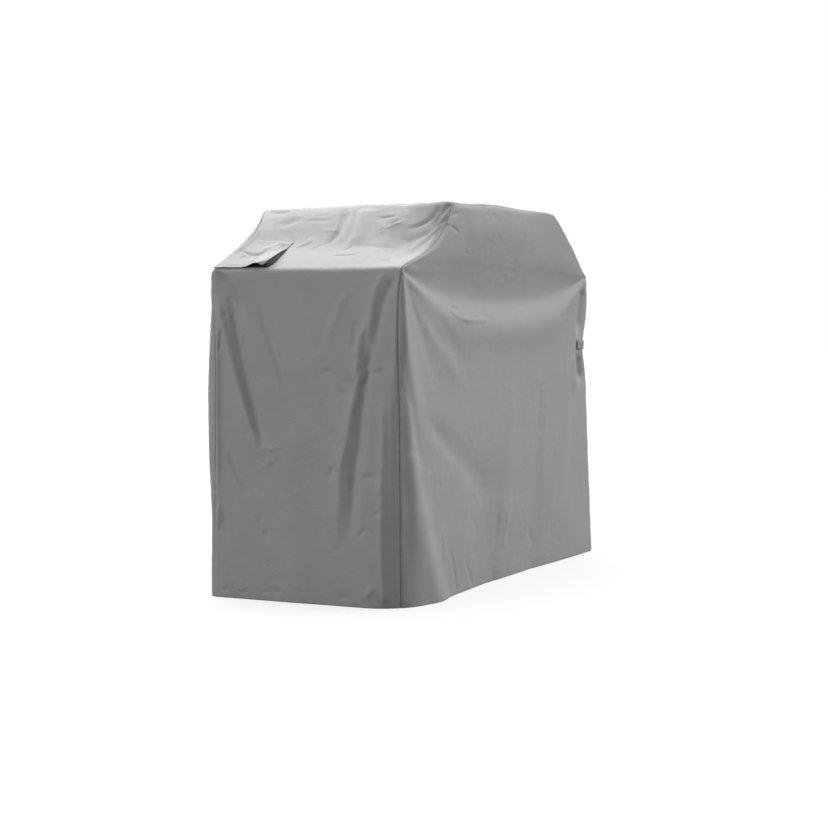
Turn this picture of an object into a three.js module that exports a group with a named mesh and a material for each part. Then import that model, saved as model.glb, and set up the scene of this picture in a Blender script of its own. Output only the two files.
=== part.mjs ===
// Fitted garden cover: six-sided in front view, a box with sloping shoulders under a raised hood.
// X runs along the front, Y from front to back, Z up. The origin is on the floor under the middle.
// One long strip makes the end walls, slopes and top. A front and a back panel are sewn to its edges.
import * as THREE from 'three';

// Driving dimensions, in millimetres and degrees
const shoulderHeight = 968;
const hoodHeight = 1169;
const shoulderHalf = 735;          // half the length at the shoulders
const slopeRun = 338;              // how far each slope reaches inwards
const clothThickness = 1.8;
const hemThickness = 2.8;
const hemDepth = 28;
const seamGap = 0.32;
const innerSeamGap = 3;
const topSag = 5;
const ridgeHalf = shoulderHalf - slopeRun;
const slopeLength = Math.hypot(slopeRun, hoodHeight - shoulderHeight);
const sideRun = shoulderHeight + slopeLength;        // hem to ridge, along the strip
const stripRun = 2 * sideRun + 2 * ridgeHalf;        // hem to hem, over the top
const degree = Math.PI / 180;

function table(columns, rows) {
  const names = columns.split(' ');
  return rows.map((row) => Object.fromEntries(names.map((name, i) => [name, row[i]])));
}

// The four seam corners, from hem to ridge. up is the share of the way from hem to shoulder, and from
// shoulder to ridge it goes on from 1 to 2. x, y and z are the corner before it is rounded, radius is
// its rounding, and turn says how far round that rounding the seam lies, from the end wall's side.
const cornerColumns = 'up x y z radius turn';
const corners = {
  frontLeft: table(cornerColumns, [
    [0.00, -753, -327, 0, 130, 48],
    [0.13, -750, -323, 126, 106, 47],
    [0.28, -747, -319, 271, 80, 47],
    [0.44, -743, -315, 426, 58, 45],
    [0.58, -741, -312, 561, 42, 43],
    [0.72, -739, -310, 697, 28, 33],
    [0.84, -737, -307, 813, 18, 20],
    [0.94, -736, -306, 910, 12, 20],
    [1.00, -733, -308, 971, 8, 58],
    [1.10, -701, -308, 984, 9, 52],
    [1.25, -642, -311, 1001, 13, 50],
    [1.40, -580, -313, 1021, 19, 48],
    [1.60, -506, -315, 1057, 26, 46],
    [1.75, -456, -316, 1096, 30, 45],
    [1.87, -428, -316, 1130, 30, 45],
    [2.00, -397, -316, 1176, 26, 45],
  ]),
  frontRight: table(cornerColumns, [
    [0.00, 757, -325, 0, 14, 50],
    [0.10, 756, -322, 97, 14, 50],
    [0.26, 746, -317, 252, 14, 50],
    [0.42, 743, -314, 407, 18, 50],
    [0.62, 745, -310, 600, 30, 50],
    [0.70, 740, -308, 678, 40, 50],
    [0.755, 713, -307, 731, 40, 50],
    [0.80, 738, -307, 774, 34, 50],
    [0.90, 749, -306, 871, 16, 50],
    [1.00, 743, -305, 968, 12, 48],
    [1.15, 700, -308, 990, 14, 48],
    [1.30, 664, -310, 1014, 16, 46],
    [1.42, 630, -312, 1042, 20, 45],
    [1.60, 570, -314, 1082, 20, 45],
    [1.85, 464, -316, 1140, 14, 45],
    [2.00, 399, -316, 1171, 12, 45],
  ]),
  backLeft: table(cornerColumns, [
    [0.00, -755, 324, 0, 30, 20],
    [0.25, -749, 329, 242, 34, 18],
    [0.42, -745, 345, 407, 48, 8],
    [0.62, -742, 360, 600, 66, 8],
    [0.76, -740, 347, 736, 50, 8],
    [0.90, -737, 331, 871, 32, 26],
    [1.00, -735, 324, 968, 12, 45],
    [1.20, -667, 334, 1008, 40, 14],
    [1.42, -593, 326, 1052, 48, 6],
    [1.65, -515, 317, 1099, 30, 6],
    [1.85, -448, 330, 1137, 24, 26],
    [2.00, -397, 345, 1163, 18, 42],
  ]),
  backRight: table(cornerColumns, [
    [0.00, 770, 319, 0, 32, 45],
    [0.30, 752, 317, 290, 32, 45],
    [0.62, 746, 312, 600, 32, 45],
    [0.755, 732, 309, 731, 40, 45],
    [0.86, 742, 308, 832, 26, 45],
    [1.00, 741, 305, 968, 12, 45],
    [1.35, 632, 310, 1032, 22, 45],
    [1.70, 505, 322, 1106, 26, 45],
    [2.00, 397, 336, 1169, 24, 45],
  ]),
};

// Rise of the hood's front edge above a straight line from ridge to ridge
const hoodCrown = table('share rise', [
  [0, 0], [0.08, -2], [0.17, -2], [0.27, 3.5], [0.46, 6],
  [0.58, 2.5], [0.72, 2], [0.85, 3], [0.93, 4], [1, 0],
]);

// Folds are soft ridges, or troughs where rise is negative, along a curve through three places.
// They are narrow where they start and wide where they fade. Places are across the panel and up it.
const foldColumns = 'fromU fromV viaU viaV toU toV rise narrow wide';
const frontFolds = table(foldColumns, [
  [-747, 955, -705, 736, -593, 402, 9, 16, 42],
  [-709, 950, -603, 777, -431, 547, -3, 12, 34],
  [-588, 814, -462, 717, -271, 600, 3, 18, 34],
  [-586, 889, -446, 787, -298, 674, -2.2, 16, 30],
  [-693, 608, -662, 306, -523, -36, 6, 18, 60],
  [-730, 652, -712, 368, -695, 66, -5, 12, 20],
  [-680, 465, -638, 223, -517, -49, 5, 40, 74],
  [-658, 320, -600, 138, -510, -62, 5, 60, 80],
  [-619, 201, -569, 64, -504, -69, 4, 70, 84],
  [-560, 520, -312, 389, -90, 285, -6, 30, 60],
  [-330, 1092, 0, 1098, 330, 1092, 8, 62, 62],
  [-170, 430, -160, 200, -150, 0, -8, 120, 170],
  [-140, 260, -140, 120, -140, 0, -7, 110, 190],
  [160, 420, 170, 200, 190, 0, -7, 130, 230],
  [150, 240, 160, 110, 170, 0, -5, 120, 230],
  [60, 640, 10, 335, -60, 40, 4, 34, 60],
  [300, 620, 254, 315, 215, 40, -4, 34, 60],
  [560, 700, 508, 380, 470, 60, 4, 30, 60],
  [706, 925, 677, 847, 650, 742, -15, 16, 24],
  [666, 702, 662, 648, 700, 590, -15, 24, 30],
  [610, 700, 598, 635, 600, 560, 6, 22, 34],
]);
const leftFolds = table(foldColumns, [
  [296, 896, 227, 655, 144, 411, 10, 9, 14],
  [255, 884, 199, 656, 127, 406, -13, 10, 16],
  [289, 949, 261, 902, 241, 855, -4, 9, 13],
  [-255, 956, -215, 869, -209, 736, 6, 9, 11],
  [-281, 944, -240, 849, -225, 722, -8, 9, 13],
  [-189, 809, -180, 730, -162, 638, 7, 7, 10],
  [-206, 682, -136, 489, -99, 125, 8, 10, 18],
  [-215, 750, -172, 479, -138, 128, -13, 10, 20],
  [-254, 595, -251, 311, -258, 26, 9, 7, 10],
  [-294, 610, -296, 313, -297, 29, -9, 11, 14],
  [60, 520, 32, 265, 30, 20, 3, 36, 60],
]);
const rightFolds = table(foldColumns, [
  [290, 930, 225, 658, 190, 300, -7, 10, 34],
  [-285, 925, -204, 686, -150, 380, -7, 10, 34],
  [-240, 700, -158, 415, -110, 40, 7, 24, 46],
  [220, 690, 148, 392, 130, 40, 6, 24, 46],
  [0, 640, -10, 350, 0, 40, -4, 40, 60],
]);
const backFolds = table(foldColumns, [
  [-725, 940, -609, 605, -470, 200, 9, 10, 44],
  [-705, 920, -529, 690, -330, 400, -8, 10, 44],
  [715, 935, 604, 581, 500, 150, 8, 10, 44],
  [690, 915, 515, 694, 330, 460, -8, 10, 44],
  [-180, 620, -185, 312, -160, 30, 5, 36, 60],
  [120, 640, 152, 318, 190, 30, -5, 36, 60],
]);
const slopeFolds = table(foldColumns, [
  [-330, 1361, -60, 1363, 330, 1361, 3, 40, 70],
  [-235, 1361, -90, 1363, 140, 1361, 4, 40, 60],
  [-300, 1150, -20, 1150, 380, 1160, -15, 95, 95],
  [-276, 1237, -245, 1196, -215, 1166, -4, 9, 16],
  [-350, 1197, -320, 1139, -275, 1069, -3, 10, 22],
  [36, 1320, 7, 1212, 32, 1120, -5, 8, 12],
  [13, 1345, -22, 1229, -30, 1125, 4, 12, 18],
  [-28, 1336, -59, 1215, -73, 1123, 8, 24, 28],
]);

const clamp01 = (value) => Math.min(1, Math.max(0, value));
const mix = (a, b, t) => a + (b - a) * t;
const ease = (value) => clamp01(value) ** 2 * (3 - 2 * clamp01(value));
const hill = (distance, width) => Math.exp(-((distance / width) ** 2));

// A value from a table, between its rows
function readTable(rows, from, to, value) {
  const next = Math.max(1, rows.findIndex((row) => row[from] >= value - 1e-9));
  const [a, b] = [rows[next - 1], rows[next]];
  return mix(a[to], b[to], clamp01((value - a[from]) / (b[from] - a[from])));
}

// How far a rounded corner falls away, where share is the sine of the angle round it
const arcDrop = (radius, share) => radius * (1 - Math.sqrt(1 - Math.min(0.999, share) ** 2));

// A place on the curve through a fold's three places
function foldPlace(fold, t) {
  const start = (1 - t) ** 2 - t * (1 - t);
  const end = t * t - t * (1 - t);
  const middle = 4 * t * (1 - t);
  return new THREE.Vector2(
    start * fold.fromU + middle * fold.viaU + end * fold.toU,
    start * fold.fromV + middle * fold.viaV + end * fold.toV,
  );
}

// How far the folds of one panel lift the cloth at one place
function foldHeight(folds, u, v) {
  const steps = 10;
  const place = new THREE.Vector2(u, v);
  let height = 0;
  for (const fold of folds) {
    let nearest = Infinity;
    let along = 0;
    for (let i = 0; i < steps; i += 1) {
      const start = foldPlace(fold, i / steps);
      const stretch = foldPlace(fold, (i + 1) / steps).sub(start);
      const share = clamp01(place.clone().sub(start).dot(stretch) / stretch.lengthSq());
      const distance = place.distanceTo(start.addScaledVector(stretch, share));
      if (distance < nearest) {
        nearest = distance;
        along = (i + share) / steps;
      }
    }
    const length = foldPlace(fold, 0).distanceTo(foldPlace(fold, 1));
    const fade = ease(along / Math.max(0.12, 1.4 * fold.narrow / length)) * 0.8 + 0.2;
    const toHem = fold.toV < 2 * hemDepth && fold.fromV > fold.toV;
    const ending = toHem ? 1 : ease((1 - along) / 0.3);
    height += fold.rise * fade * ending * hill(nearest, mix(fold.narrow, fold.wide, along));
  }
  return height;
}

// The front and back sag in a shallow swag hung from the shoulder corners: in above it, out below it
const frontSwag = {
  dip: 85,
  hollow: 23,
  hollowAbove: 78,
  hollowBelow: 50,
  belly: 6.5,
  bellyBelow: 98,
  bellyReach: 58,
};
const backSwag = { ...frontSwag, dip: 90, hollow: 16, belly: 6 };

function swagHeight(x, z, swag) {
  const across = clamp01(Math.abs(x) / shoulderHalf);
  const line = shoulderHeight - swag.dip * (1 - across ** 2) ** 0.75;
  const spread = 0.12 + 0.88 * ease((1 - across) / 0.5);
  const above = (z - line) / spread;
  const hollow = swag.hollow * hill(above, above > 0 ? swag.hollowAbove : swag.hollowBelow);
  return spread ** 0.6 * (swag.belly * hill(above + swag.bellyBelow, swag.bellyReach) - hollow);
}

// One corner line at a length along the strip, from the left hem or the right one
function cornerAt(rows, run) {
  const up = run <= shoulderHeight ? run / shoulderHeight : 1 + (run - shoulderHeight) / slopeLength;
  const next = Math.max(1, rows.findIndex((row) => row.up >= Math.min(2, up) - 1e-9));
  const [a, b] = [rows[next - 1], rows[next]];
  const t = clamp01((up - a.up) / (b.up - a.up));
  const place = {};
  for (const name of ['x', 'y', 'z', 'radius', 'turn']) {
    place[name] = mix(a[name], b[name], t);
  }
  return place;
}

// The same line over the whole strip: up the left, across the top and down the right
function lineAt(side, run) {
  if (run <= sideRun) return cornerAt(corners[`${side}Left`], Math.max(0, run));
  if (run >= stripRun - sideRun) return cornerAt(corners[`${side}Right`], Math.max(0, stripRun - run));
  const left = cornerAt(corners[`${side}Left`], sideRun);
  const right = cornerAt(corners[`${side}Right`], sideRun);
  const t = (run - sideRun) / (2 * ridgeHalf);
  const place = {};
  for (const name of ['x', 'y', 'z', 'radius', 'turn']) {
    place[name] = mix(left[name], right[name], t);
  }
  if (side === 'front') place.z += readTable(hoodCrown, 'share', 'rise', t);
  return place;
}

// Creases at shoulders and ridges are softened by taking the mean over a short stretch of cloth
function softLine(side, run) {
  const shoulders = [shoulderHeight, stripRun - shoulderHeight];
  const fromShoulder = Math.min(...shoulders.map((place) => Math.abs(run - place)));
  const byShoulder = 10 + 0.2 * fromShoulder;
  const byLeftRidge = 16 + 0.2 * Math.abs(run - sideRun);
  const byRightRidge = 6 + 0.2 * Math.abs(stripRun - sideRun - run);
  const fromHem = Math.min(run, stripRun - run);
  const reach = Math.min(byShoulder, byLeftRidge, byRightRidge, 40, fromHem);
  const taps = [-1, -0.5, 0, 0.5, 1].map((tap) => lineAt(side, run + tap * reach));
  const mean = (name) => taps.reduce((sum, place) => sum + place[name], 0) / taps.length;
  const outward = new THREE.Vector2(taps[0].z - taps[4].z, taps[4].x - taps[0].x);
  const normal = fromHem > 0 ? outward.normalize() : new THREE.Vector2(run > 0 ? 1 : -1, 0);
  const turn = mean('turn') * degree;
  return { x: mean('x'), y: mean('y'), z: mean('z'), radius: mean('radius'), turn, normal };
}

// Where the seam lies on the rounded corner line
function seamAt(side, run) {
  const line = softLine(side, run);
  const inset = line.radius * (1 - Math.cos(line.turn));
  const back = line.radius * (1 - Math.sin(line.turn));
  const point = new THREE.Vector3(
    line.x - line.normal.x * inset,
    line.y - Math.sign(line.y) * back,
    line.z - line.normal.y * inset,
  );
  return { point, line, inset, back };
}

// A point of the strip, across it from the back seam (0) to the front seam (1)
function stripPoint(run, across) {
  const back = seamAt('back', run);
  const front = seamAt('front', run);
  const y = mix(back.point.y, front.point.y, across);
  const fromFront = y - front.point.y;
  const fromBack = back.point.y - y;
  const overTop = run > sideRun && run < stripRun - sideRun;
  const droop = 1 - ease(fromFront / (overTop ? 60 : 165));
  const round = ({ line }, distance) => {
    const sine = Math.sin(line.turn);
    return arcDrop(line.radius, sine * clamp01(1 - distance / Math.max(1, line.radius * sine)));
  };
  const inset = round(front, fromFront) + round(back, fromBack);
  const normal = back.line.normal.clone().lerp(front.line.normal, droop).normalize();
  const x = mix(back.line.x, front.line.x, droop) - normal.x * inset;
  const z = mix(back.line.z, front.line.z, droop) - normal.y * inset;
  const nearSeam = ease(fromFront / 24) * ease(fromBack / 24);
  const sag = -topSag * Math.sin(Math.PI * clamp01((run - sideRun) / (2 * ridgeHalf)));
  let lift = overTop ? sag * ease(fromFront / 200) : 0;
  if (run < shoulderHeight) lift += foldHeight(leftFolds, y, z);
  else if (run < stripRun / 2) lift += foldHeight(slopeFolds, y, run);
  else if (!overTop) lift += foldHeight(rightFolds, y, z);
  lift *= nearSeam;
  return new THREE.Vector3(x + normal.x * lift, y, z + normal.y * lift);
}

// A point of the front or back panel, across it from the left seam (0) to the right seam (1)
function panelPoint(side, run, across) {
  const left = seamAt(side, run);
  const right = seamAt(side, stripRun - run);
  const outward = side === 'front' ? -1 : 1;
  const top = seamAt(side, mix(sideRun, stripRun - sideRun, across));
  const [from, to] = [seamAt(side, sideRun), seamAt(side, stripRun - sideRun)];
  const nearTop = ease(1 - (sideRun - run) / 90);
  const rise = top.point.z - mix(from.point.z, to.point.z, across);
  const outwards = top.line.y - mix(from.line.y, to.line.y, across);
  const x = mix(left.point.x, right.point.x, across);
  const z = mix(left.point.z, right.point.z, across) + nearTop * rise;
  const face = mix(left.line.y, right.line.y, across) + nearTop * outwards;
  const falloff = ({ line }, distance) => {
    const cosine = Math.cos(line.turn);
    const away = distance * Math.max(Math.abs(line.normal.x), 0.45);
    return arcDrop(line.radius, cosine * clamp01(1 - away / Math.max(1, line.radius * cosine)));
  };
  const underTop = top.back * clamp01(1 - (sideRun - run) / top.line.radius) ** 2;
  const edges = Math.max(falloff(left, x - left.point.x), falloff(right, right.point.x - x));
  const recess = Math.max(edges, underTop);
  const nearSeam = ease(Math.min(x - left.point.x, right.point.x - x) / 16) * ease((sideRun - run) / 30);
  const folds = side === 'front' ? frontFolds : backFolds;
  const swag = side === 'front' ? swagHeight(x, z, frontSwag) : swagHeight(x, z, backSwag);
  const lift = (foldHeight(folds, x, z) + swag) * nearSeam;
  return new THREE.Vector3(x, face - outward * recess + outward * lift, z);
}

// Places along an edge, from a few stretches with their own number of steps
function stations(stretches) {
  const places = [stretches[0].from];
  for (const { from, to, steps } of stretches) {
    for (let i = 1; i <= steps; i += 1) {
      places.push(mix(from, to, i / steps));
    }
  }
  return places;
}

const sideRuns = stations([
  { from: 0, to: hemDepth, steps: 1 },
  { from: hemDepth, to: 700, steps: 12 },
  { from: 700, to: 760, steps: 2 },
  { from: 760, to: shoulderHeight - 20, steps: 4 },
  { from: shoulderHeight - 20, to: shoulderHeight + 20, steps: 3 },
  { from: shoulderHeight + 20, to: sideRun - 24, steps: 6 },
  { from: sideRun - 24, to: sideRun, steps: 2 },
]);
const stripShares = stations([
  { from: 0, to: 0.06, steps: 2 },
  { from: 0.06, to: 0.70, steps: 7 },
  { from: 0.70, to: 0.96, steps: 6 },
  { from: 0.96, to: 1, steps: 2 },
]);
const panelShares = stations([
  { from: 0, to: 0.05, steps: 4 },
  { from: 0.05, to: 0.36, steps: 11 },
  { from: 0.36, to: 0.90, steps: 7 },
  { from: 0.90, to: 1, steps: 4 },
]);

// Unit normals of a grid of points, from the cells around each point
function gridNormals(grid) {
  const rows = grid.length;
  const columns = grid[0].length;
  const at = (i, j) => grid[Math.min(rows - 1, Math.max(0, i))][Math.min(columns - 1, Math.max(0, j))];
  return grid.map((row, i) => row.map((point, j) => {
    const alongRow = at(i, j + 1).clone().sub(at(i, j - 1));
    const alongColumn = at(i + 1, j).clone().sub(at(i - 1, j));
    return alongRow.cross(alongColumn).normalize();
  }));
}

// Two panels that share a seam share the direction of the cut edge there
function joinNormals(first, second) {
  first.forEach((normal, i) => {
    const shared = normal.clone().add(second[i]).normalize();
    const stretch = 1 / Math.max(0.6, shared.dot(normal));
    normal.copy(shared).multiplyScalar(stretch);
    second[i].copy(normal);
  });
}

// A closed sheet from its outer grid: the inner face lies along the normals, and rims close the edges
function sheetGeometry(outer, inner) {
  const rows = outer.length;
  const columns = outer[0].length;
  const count = rows * columns;
  const positions = [];
  for (const point of [...outer.flat(), ...inner.flat()]) {
    positions.push(point.x, point.y, point.z);
  }
  const faces = [];
  const id = (i, j) => i * columns + j;
  for (let i = 0; i < rows - 1; i += 1) {
    for (let j = 0; j < columns - 1; j += 1) {
      const [a, b, c, d] = [id(i, j), id(i, j + 1), id(i + 1, j + 1), id(i + 1, j)];
      faces.push(a, b, c, a, c, d);
      faces.push(count + a, count + c, count + b, count + a, count + d, count + c);
    }
  }
  const rim = [];
  for (let j = 0; j < columns - 1; j += 1) rim.push(id(0, j));
  for (let i = 0; i < rows - 1; i += 1) rim.push(id(i, columns - 1));
  for (let j = columns - 1; j > 0; j -= 1) rim.push(id(rows - 1, j));
  for (let i = rows - 1; i > 0; i -= 1) rim.push(id(i, 0));
  rim.forEach((a, i) => {
    const b = rim[(i + 1) % rim.length];
    faces.push(b, a, count + a, b, count + a, count + b);
  });
  const geometry = new THREE.BufferGeometry();
  geometry.setAttribute('position', new THREE.Float32BufferAttribute(positions, 3));
  geometry.setIndex(faces);
  geometry.computeVertexNormals();
  return geometry;
}

// Inner face of a panel: thicker in the hem, level with the outer face at its foot
function innerGrid(outer, normals, footRows) {
  return outer.map((row, i) => row.map((point, j) => {
    const normal = normals[i][j].clone();
    if (footRows.includes(i)) normal.setZ(0).normalize();
    const thickness = Math.min(point.z, 2 * hemDepth) <= hemDepth + 1 ? hemThickness : clothThickness;
    return point.clone().addScaledVector(normal, -thickness);
  }));
}

// Each panel's sewn edges stand back by half the gap, towards the panel's own middle
function openSeams(grid, edges, gap) {
  const last = grid.length - 1;
  const end = grid[0].length - 1;
  const pull = (point, neighbour) => {
    const inwards = neighbour.clone().sub(point).normalize();
    point.addScaledVector(inwards, gap / 2);
  };
  grid.forEach((row) => {
    if (edges.includes('left')) pull(row[0], row[1]);
    if (edges.includes('right')) pull(row[end], row[end - 1]);
  });
  if (edges.includes('top')) grid[last].forEach((point, j) => pull(point, grid[last - 1][j]));
}

const fabric = new THREE.MeshStandardMaterial({ color: 0xa2a4a6, roughness: 0.86, metalness: 0 });
const meshFabric = new THREE.MeshStandardMaterial({ color: 0x3c3d3f, roughness: 0.9, metalness: 0 });
const webbing = new THREE.MeshStandardMaterial({ color: 0xa8a9ab, roughness: 0.8, metalness: 0 });

function namedMesh(name, geometry, material) {
  const mesh = new THREE.Mesh(geometry, material);
  mesh.name = name;
  return mesh;
}

// The strip, the front and the back are laid out together, because their edges have to meet
function makePanels() {
  const topRuns = panelShares.slice(1, -1).map((share) => mix(sideRun, stripRun - sideRun, share));
  const downRuns = [...sideRuns].reverse().map((run) => stripRun - run);
  const stripRuns = [...sideRuns, ...topRuns, ...downRuns];
  const strip = stripRuns.map((run) => stripShares.map((share) => stripPoint(run, share)));
  const front = sideRuns.map((run) => panelShares.map((share) => panelPoint('front', run, share)));
  const backShares = [...panelShares].reverse();
  const back = sideRuns.map((run) => backShares.map((share) => panelPoint('back', run, share)));
  const ridge = sideRuns.length - 1;
  const end = panelShares.length - 1;
  for (let i = 0; i <= ridge; i += 1) {
    front[i][0].copy(strip[i].at(-1));
    front[i][end].copy(strip[strip.length - 1 - i].at(-1));
    back[i][end].copy(strip[i][0]);
    back[i][0].copy(strip[strip.length - 1 - i][0]);
  }
  for (let j = 0; j <= end; j += 1) {
    front[ridge][j].copy(strip[ridge + j].at(-1));
    back[ridge][end - j].copy(strip[ridge + j][0]);
  }
  const normals = { strip: gridNormals(strip), front: gridNormals(front), back: gridNormals(back) };
  const edgeOf = (grid, from, to, column) => grid.slice(from, to).map((row) => row.at(column));
  const total = strip.length;
  const upLeft = (column) => edgeOf(normals.strip, 0, ridge, column);
  const upRight = (column) => edgeOf(normals.strip, total - ridge, total, column).reverse();
  const overTop = (column) => edgeOf(normals.strip, ridge, ridge + end + 1, column);
  joinNormals(edgeOf(normals.front, 0, ridge, 0), upLeft(-1));
  joinNormals(edgeOf(normals.front, 0, ridge, -1), upRight(-1));
  joinNormals(normals.front[ridge], overTop(-1));
  joinNormals(edgeOf(normals.back, 0, ridge, -1), upLeft(0));
  joinNormals(edgeOf(normals.back, 0, ridge, 0), upRight(0));
  joinNormals([...normals.back[ridge]].reverse(), overTop(0));
  const close = (grid, gridNormal, footRows, edges) => {
    const inner = innerGrid(grid, gridNormal, footRows);
    openSeams(grid, edges, seamGap);
    openSeams(inner, edges, innerSeamGap);
    return sheetGeometry(grid, inner);
  };
  return [
    namedMesh('wrap_panel', close(strip, normals.strip, [0, total - 1], ['left', 'right']), fabric),
    namedMesh('front_panel', close(front, normals.front, [0], ['left', 'right', 'top']), fabric),
    namedMesh('back_panel', close(back, normals.back, [0], ['left', 'right', 'top']), fabric),
  ];
}

// The vent flap hangs from the left slope near the back, and its front end stands open at the mouth
const flap = {
  topRun: shoulderHeight + 0.48 * slopeLength,
  mouthRun: shoulderHeight + 9,
  thickness: 1.5,
  rest: 3.4,
};
const mouthLifts = table('share lift', [
  [0, 0.6], [0.22, 1.4], [0.45, 0.2], [0.57, 0.3], [0.69, 6], [0.82, 15], [0.93, 17.5], [1, 17],
]);
// The flap's front side, and how far the net reaches out past it
const flapSides = table('down y reach', [
  [0, 136, 0], [0.14, 138, 2], [0.36, 137, 5], [0.48, 136, 6],
  [0.7, 134, 8], [0.85, 134, 8], [0.94, 138, 6], [1, 147, 4],
]);

// A place over the slope under the flap: down from its top (0 to 1), from back to front (0 to 1),
// and then forwards past the flap's side
function overSlope(down, toFront, lift, forwards = 0) {
  const run = mix(flap.topRun, flap.mouthRun, down);
  const back = seamAt('back', run).point.y;
  const front = seamAt('front', run).point.y;
  const y = mix(back - 5, readTable(flapSides, 'down', 'y', down), toFront) - forwards;
  const across = (back - y) / (back - front);
  const alongRun = stripPoint(run + 2, across).sub(stripPoint(run - 2, across));
  const alongDepth = stripPoint(run, across + 0.005).sub(stripPoint(run, across - 0.005));
  const normal = alongDepth.cross(alongRun).normalize();
  return stripPoint(run, across).addScaledVector(normal, lift);
}

function flapLift(down, toFront) {
  const droop = 8 * ease((toFront - 0.9) / 0.1) * ease((down - 0.86) / 0.14);
  return flap.rest + readTable(mouthLifts, 'share', 'lift', toFront) * down ** 1.6 - droop;
}

// A sheet of even thickness, from its outer face inwards
function plainSheet(outer, thickness) {
  const normals = gridNormals(outer);
  const inner = outer.map((row, i) => row.map((point, j) => (
    point.clone().addScaledVector(normals[i][j], -thickness)
  )));
  return sheetGeometry(outer, inner);
}

function makeVentFlap() {
  const downs = stations([{ from: 0, to: 1, steps: 7 }]);
  const shares = stations([{ from: 0, to: 0.5, steps: 3 }, { from: 0.5, to: 1, steps: 6 }]);
  const outer = downs.map((down) => shares.map((share) => overSlope(down, share, flapLift(down, share))));
  outer.reverse();
  return namedMesh('vent_flap', plainSheet(outer, flap.thickness), fabric);
}

// The vent's dark net lies on the slope under the flap, reaches out past the flap's front side, and
// turns up and back to the flap's edge
function makeVentNet() {
  const thickness = 1;
  const flat = 0.35 + thickness;
  const underFlap = flap.thickness + thickness + 0.35;
  const downs = stations([{ from: 0.3, to: 0.97, steps: 6 }]);
  const outer = downs.map((down) => {
    const reach = readTable(flapSides, 'down', 'reach', down);
    const top = flapLift(down, 0.985) - underFlap;
    return [
      ...[0.16, 0.5, 0.8, 0.9].map((share) => overSlope(down, share, flat)),
      overSlope(down, 1, flat, reach),
      overSlope(down, 1, mix(flat, top, 0.6), reach * 0.4),
      overSlope(down, 0.985, top),
    ];
  });
  outer.reverse();
  return namedMesh('vent_net', plainSheet(outer, thickness), meshFabric);
}

// The side strap is webbing drawn across the right end wall and round both of its corners
const strap = {
  middle: 730,
  halfWidth: 12.5,
  thickness: 1.6,
  standOff: 2.3,
  frontShare: 0.95,
  backShare: 0.95,
};

function makeSideStrap() {
  const runAt = (step) => strap.middle + step * strap.halfWidth;
  const near = (step) => sideRuns.find((run) => (step < 0 ? run >= strap.middle - 40 : run > strap.middle));
  const facet = (place, step) => {
    const other = place(near(step));
    return place(strap.middle).lerp(other, (runAt(step) - strap.middle) / (near(step) - strap.middle));
  };
  const edge = (step) => [
    ...panelShares.filter((share) => share >= strap.frontShare && share < 1)
      .map((share) => facet((run) => panelPoint('front', run, share), step)),
    ...[...stripShares].reverse().map((share) => facet((run) => stripPoint(stripRun - run, share), step)),
    ...panelShares.filter((share) => share >= strap.backShare && share < 1).reverse()
      .map((share) => facet((run) => panelPoint('back', run, share), step)),
  ];
  const base = [edge(-1), edge(0), edge(1)];
  const normals = gridNormals(base);
  const raised = (lift) => base.map((row, i) => row.map((point, j) => (
    point.clone().addScaledVector(normals[i][j], lift)
  )));
  const geometry = sheetGeometry(raised(strap.standOff + strap.thickness), raised(strap.standOff));
  return namedMesh('side_strap', geometry, webbing);
}

// The finished cover stands with the middle of its bounding box over the origin
function centre(group) {
  const box = new THREE.Box3().setFromObject(group);
  const middle = box.getCenter(new THREE.Vector3());
  group.children.forEach((mesh) => mesh.geometry.translate(-middle.x, -middle.y, -box.min.z));
}

const cover = new THREE.Group();
cover.add(...makePanels(), makeVentFlap(), makeVentNet(), makeSideStrap());
centre(cover);
export default cover;
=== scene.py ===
import math
import bmesh
import bpy
import numpy as np
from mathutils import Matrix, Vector


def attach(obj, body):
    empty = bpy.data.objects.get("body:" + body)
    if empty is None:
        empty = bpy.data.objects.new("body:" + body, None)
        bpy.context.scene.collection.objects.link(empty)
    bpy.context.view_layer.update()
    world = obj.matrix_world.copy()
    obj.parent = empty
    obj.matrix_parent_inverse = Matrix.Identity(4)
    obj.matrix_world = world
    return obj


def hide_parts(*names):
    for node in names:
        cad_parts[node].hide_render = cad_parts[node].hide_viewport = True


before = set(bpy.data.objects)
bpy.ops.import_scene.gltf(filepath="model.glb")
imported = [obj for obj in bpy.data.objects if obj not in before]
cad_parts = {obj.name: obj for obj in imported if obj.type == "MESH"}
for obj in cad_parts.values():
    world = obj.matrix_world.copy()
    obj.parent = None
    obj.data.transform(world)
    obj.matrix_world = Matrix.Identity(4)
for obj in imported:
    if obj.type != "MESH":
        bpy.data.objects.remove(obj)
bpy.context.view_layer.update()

print("frame loaded:", sorted(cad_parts))

# Sizes are in millimetres, as on the pattern, until a mesh is made. X runs along the front,
# Y from front to back, Z up. The strip is measured from its left hem over the top to its right hem.
cover = {
    "shoulderHeight": 968.0,
    "hoodHeight": 1169.0,
    "shoulderHalf": 735.0,
    "slopeRun": 338.0,
    "topSag": 5.0,
    "cloth": 1.2,                  # thickness of the cloth
    "middle": (8.0197, 7.5192),    # centre of the cover's outline on the floor
}
shoulder = cover["shoulderHeight"]
ridgeHalf = cover["shoulderHalf"] - cover["slopeRun"]
slopeLength = math.hypot(cover["slopeRun"], cover["hoodHeight"] - shoulder)
sideRun = shoulder + slopeLength
stripRun = 2 * sideRun + 2 * ridgeHalf
metres = 0.001


def table(columns, rows):
    values = np.array(rows, float)
    return {name: values[:, i] for i, name in enumerate(columns.split())}


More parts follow.
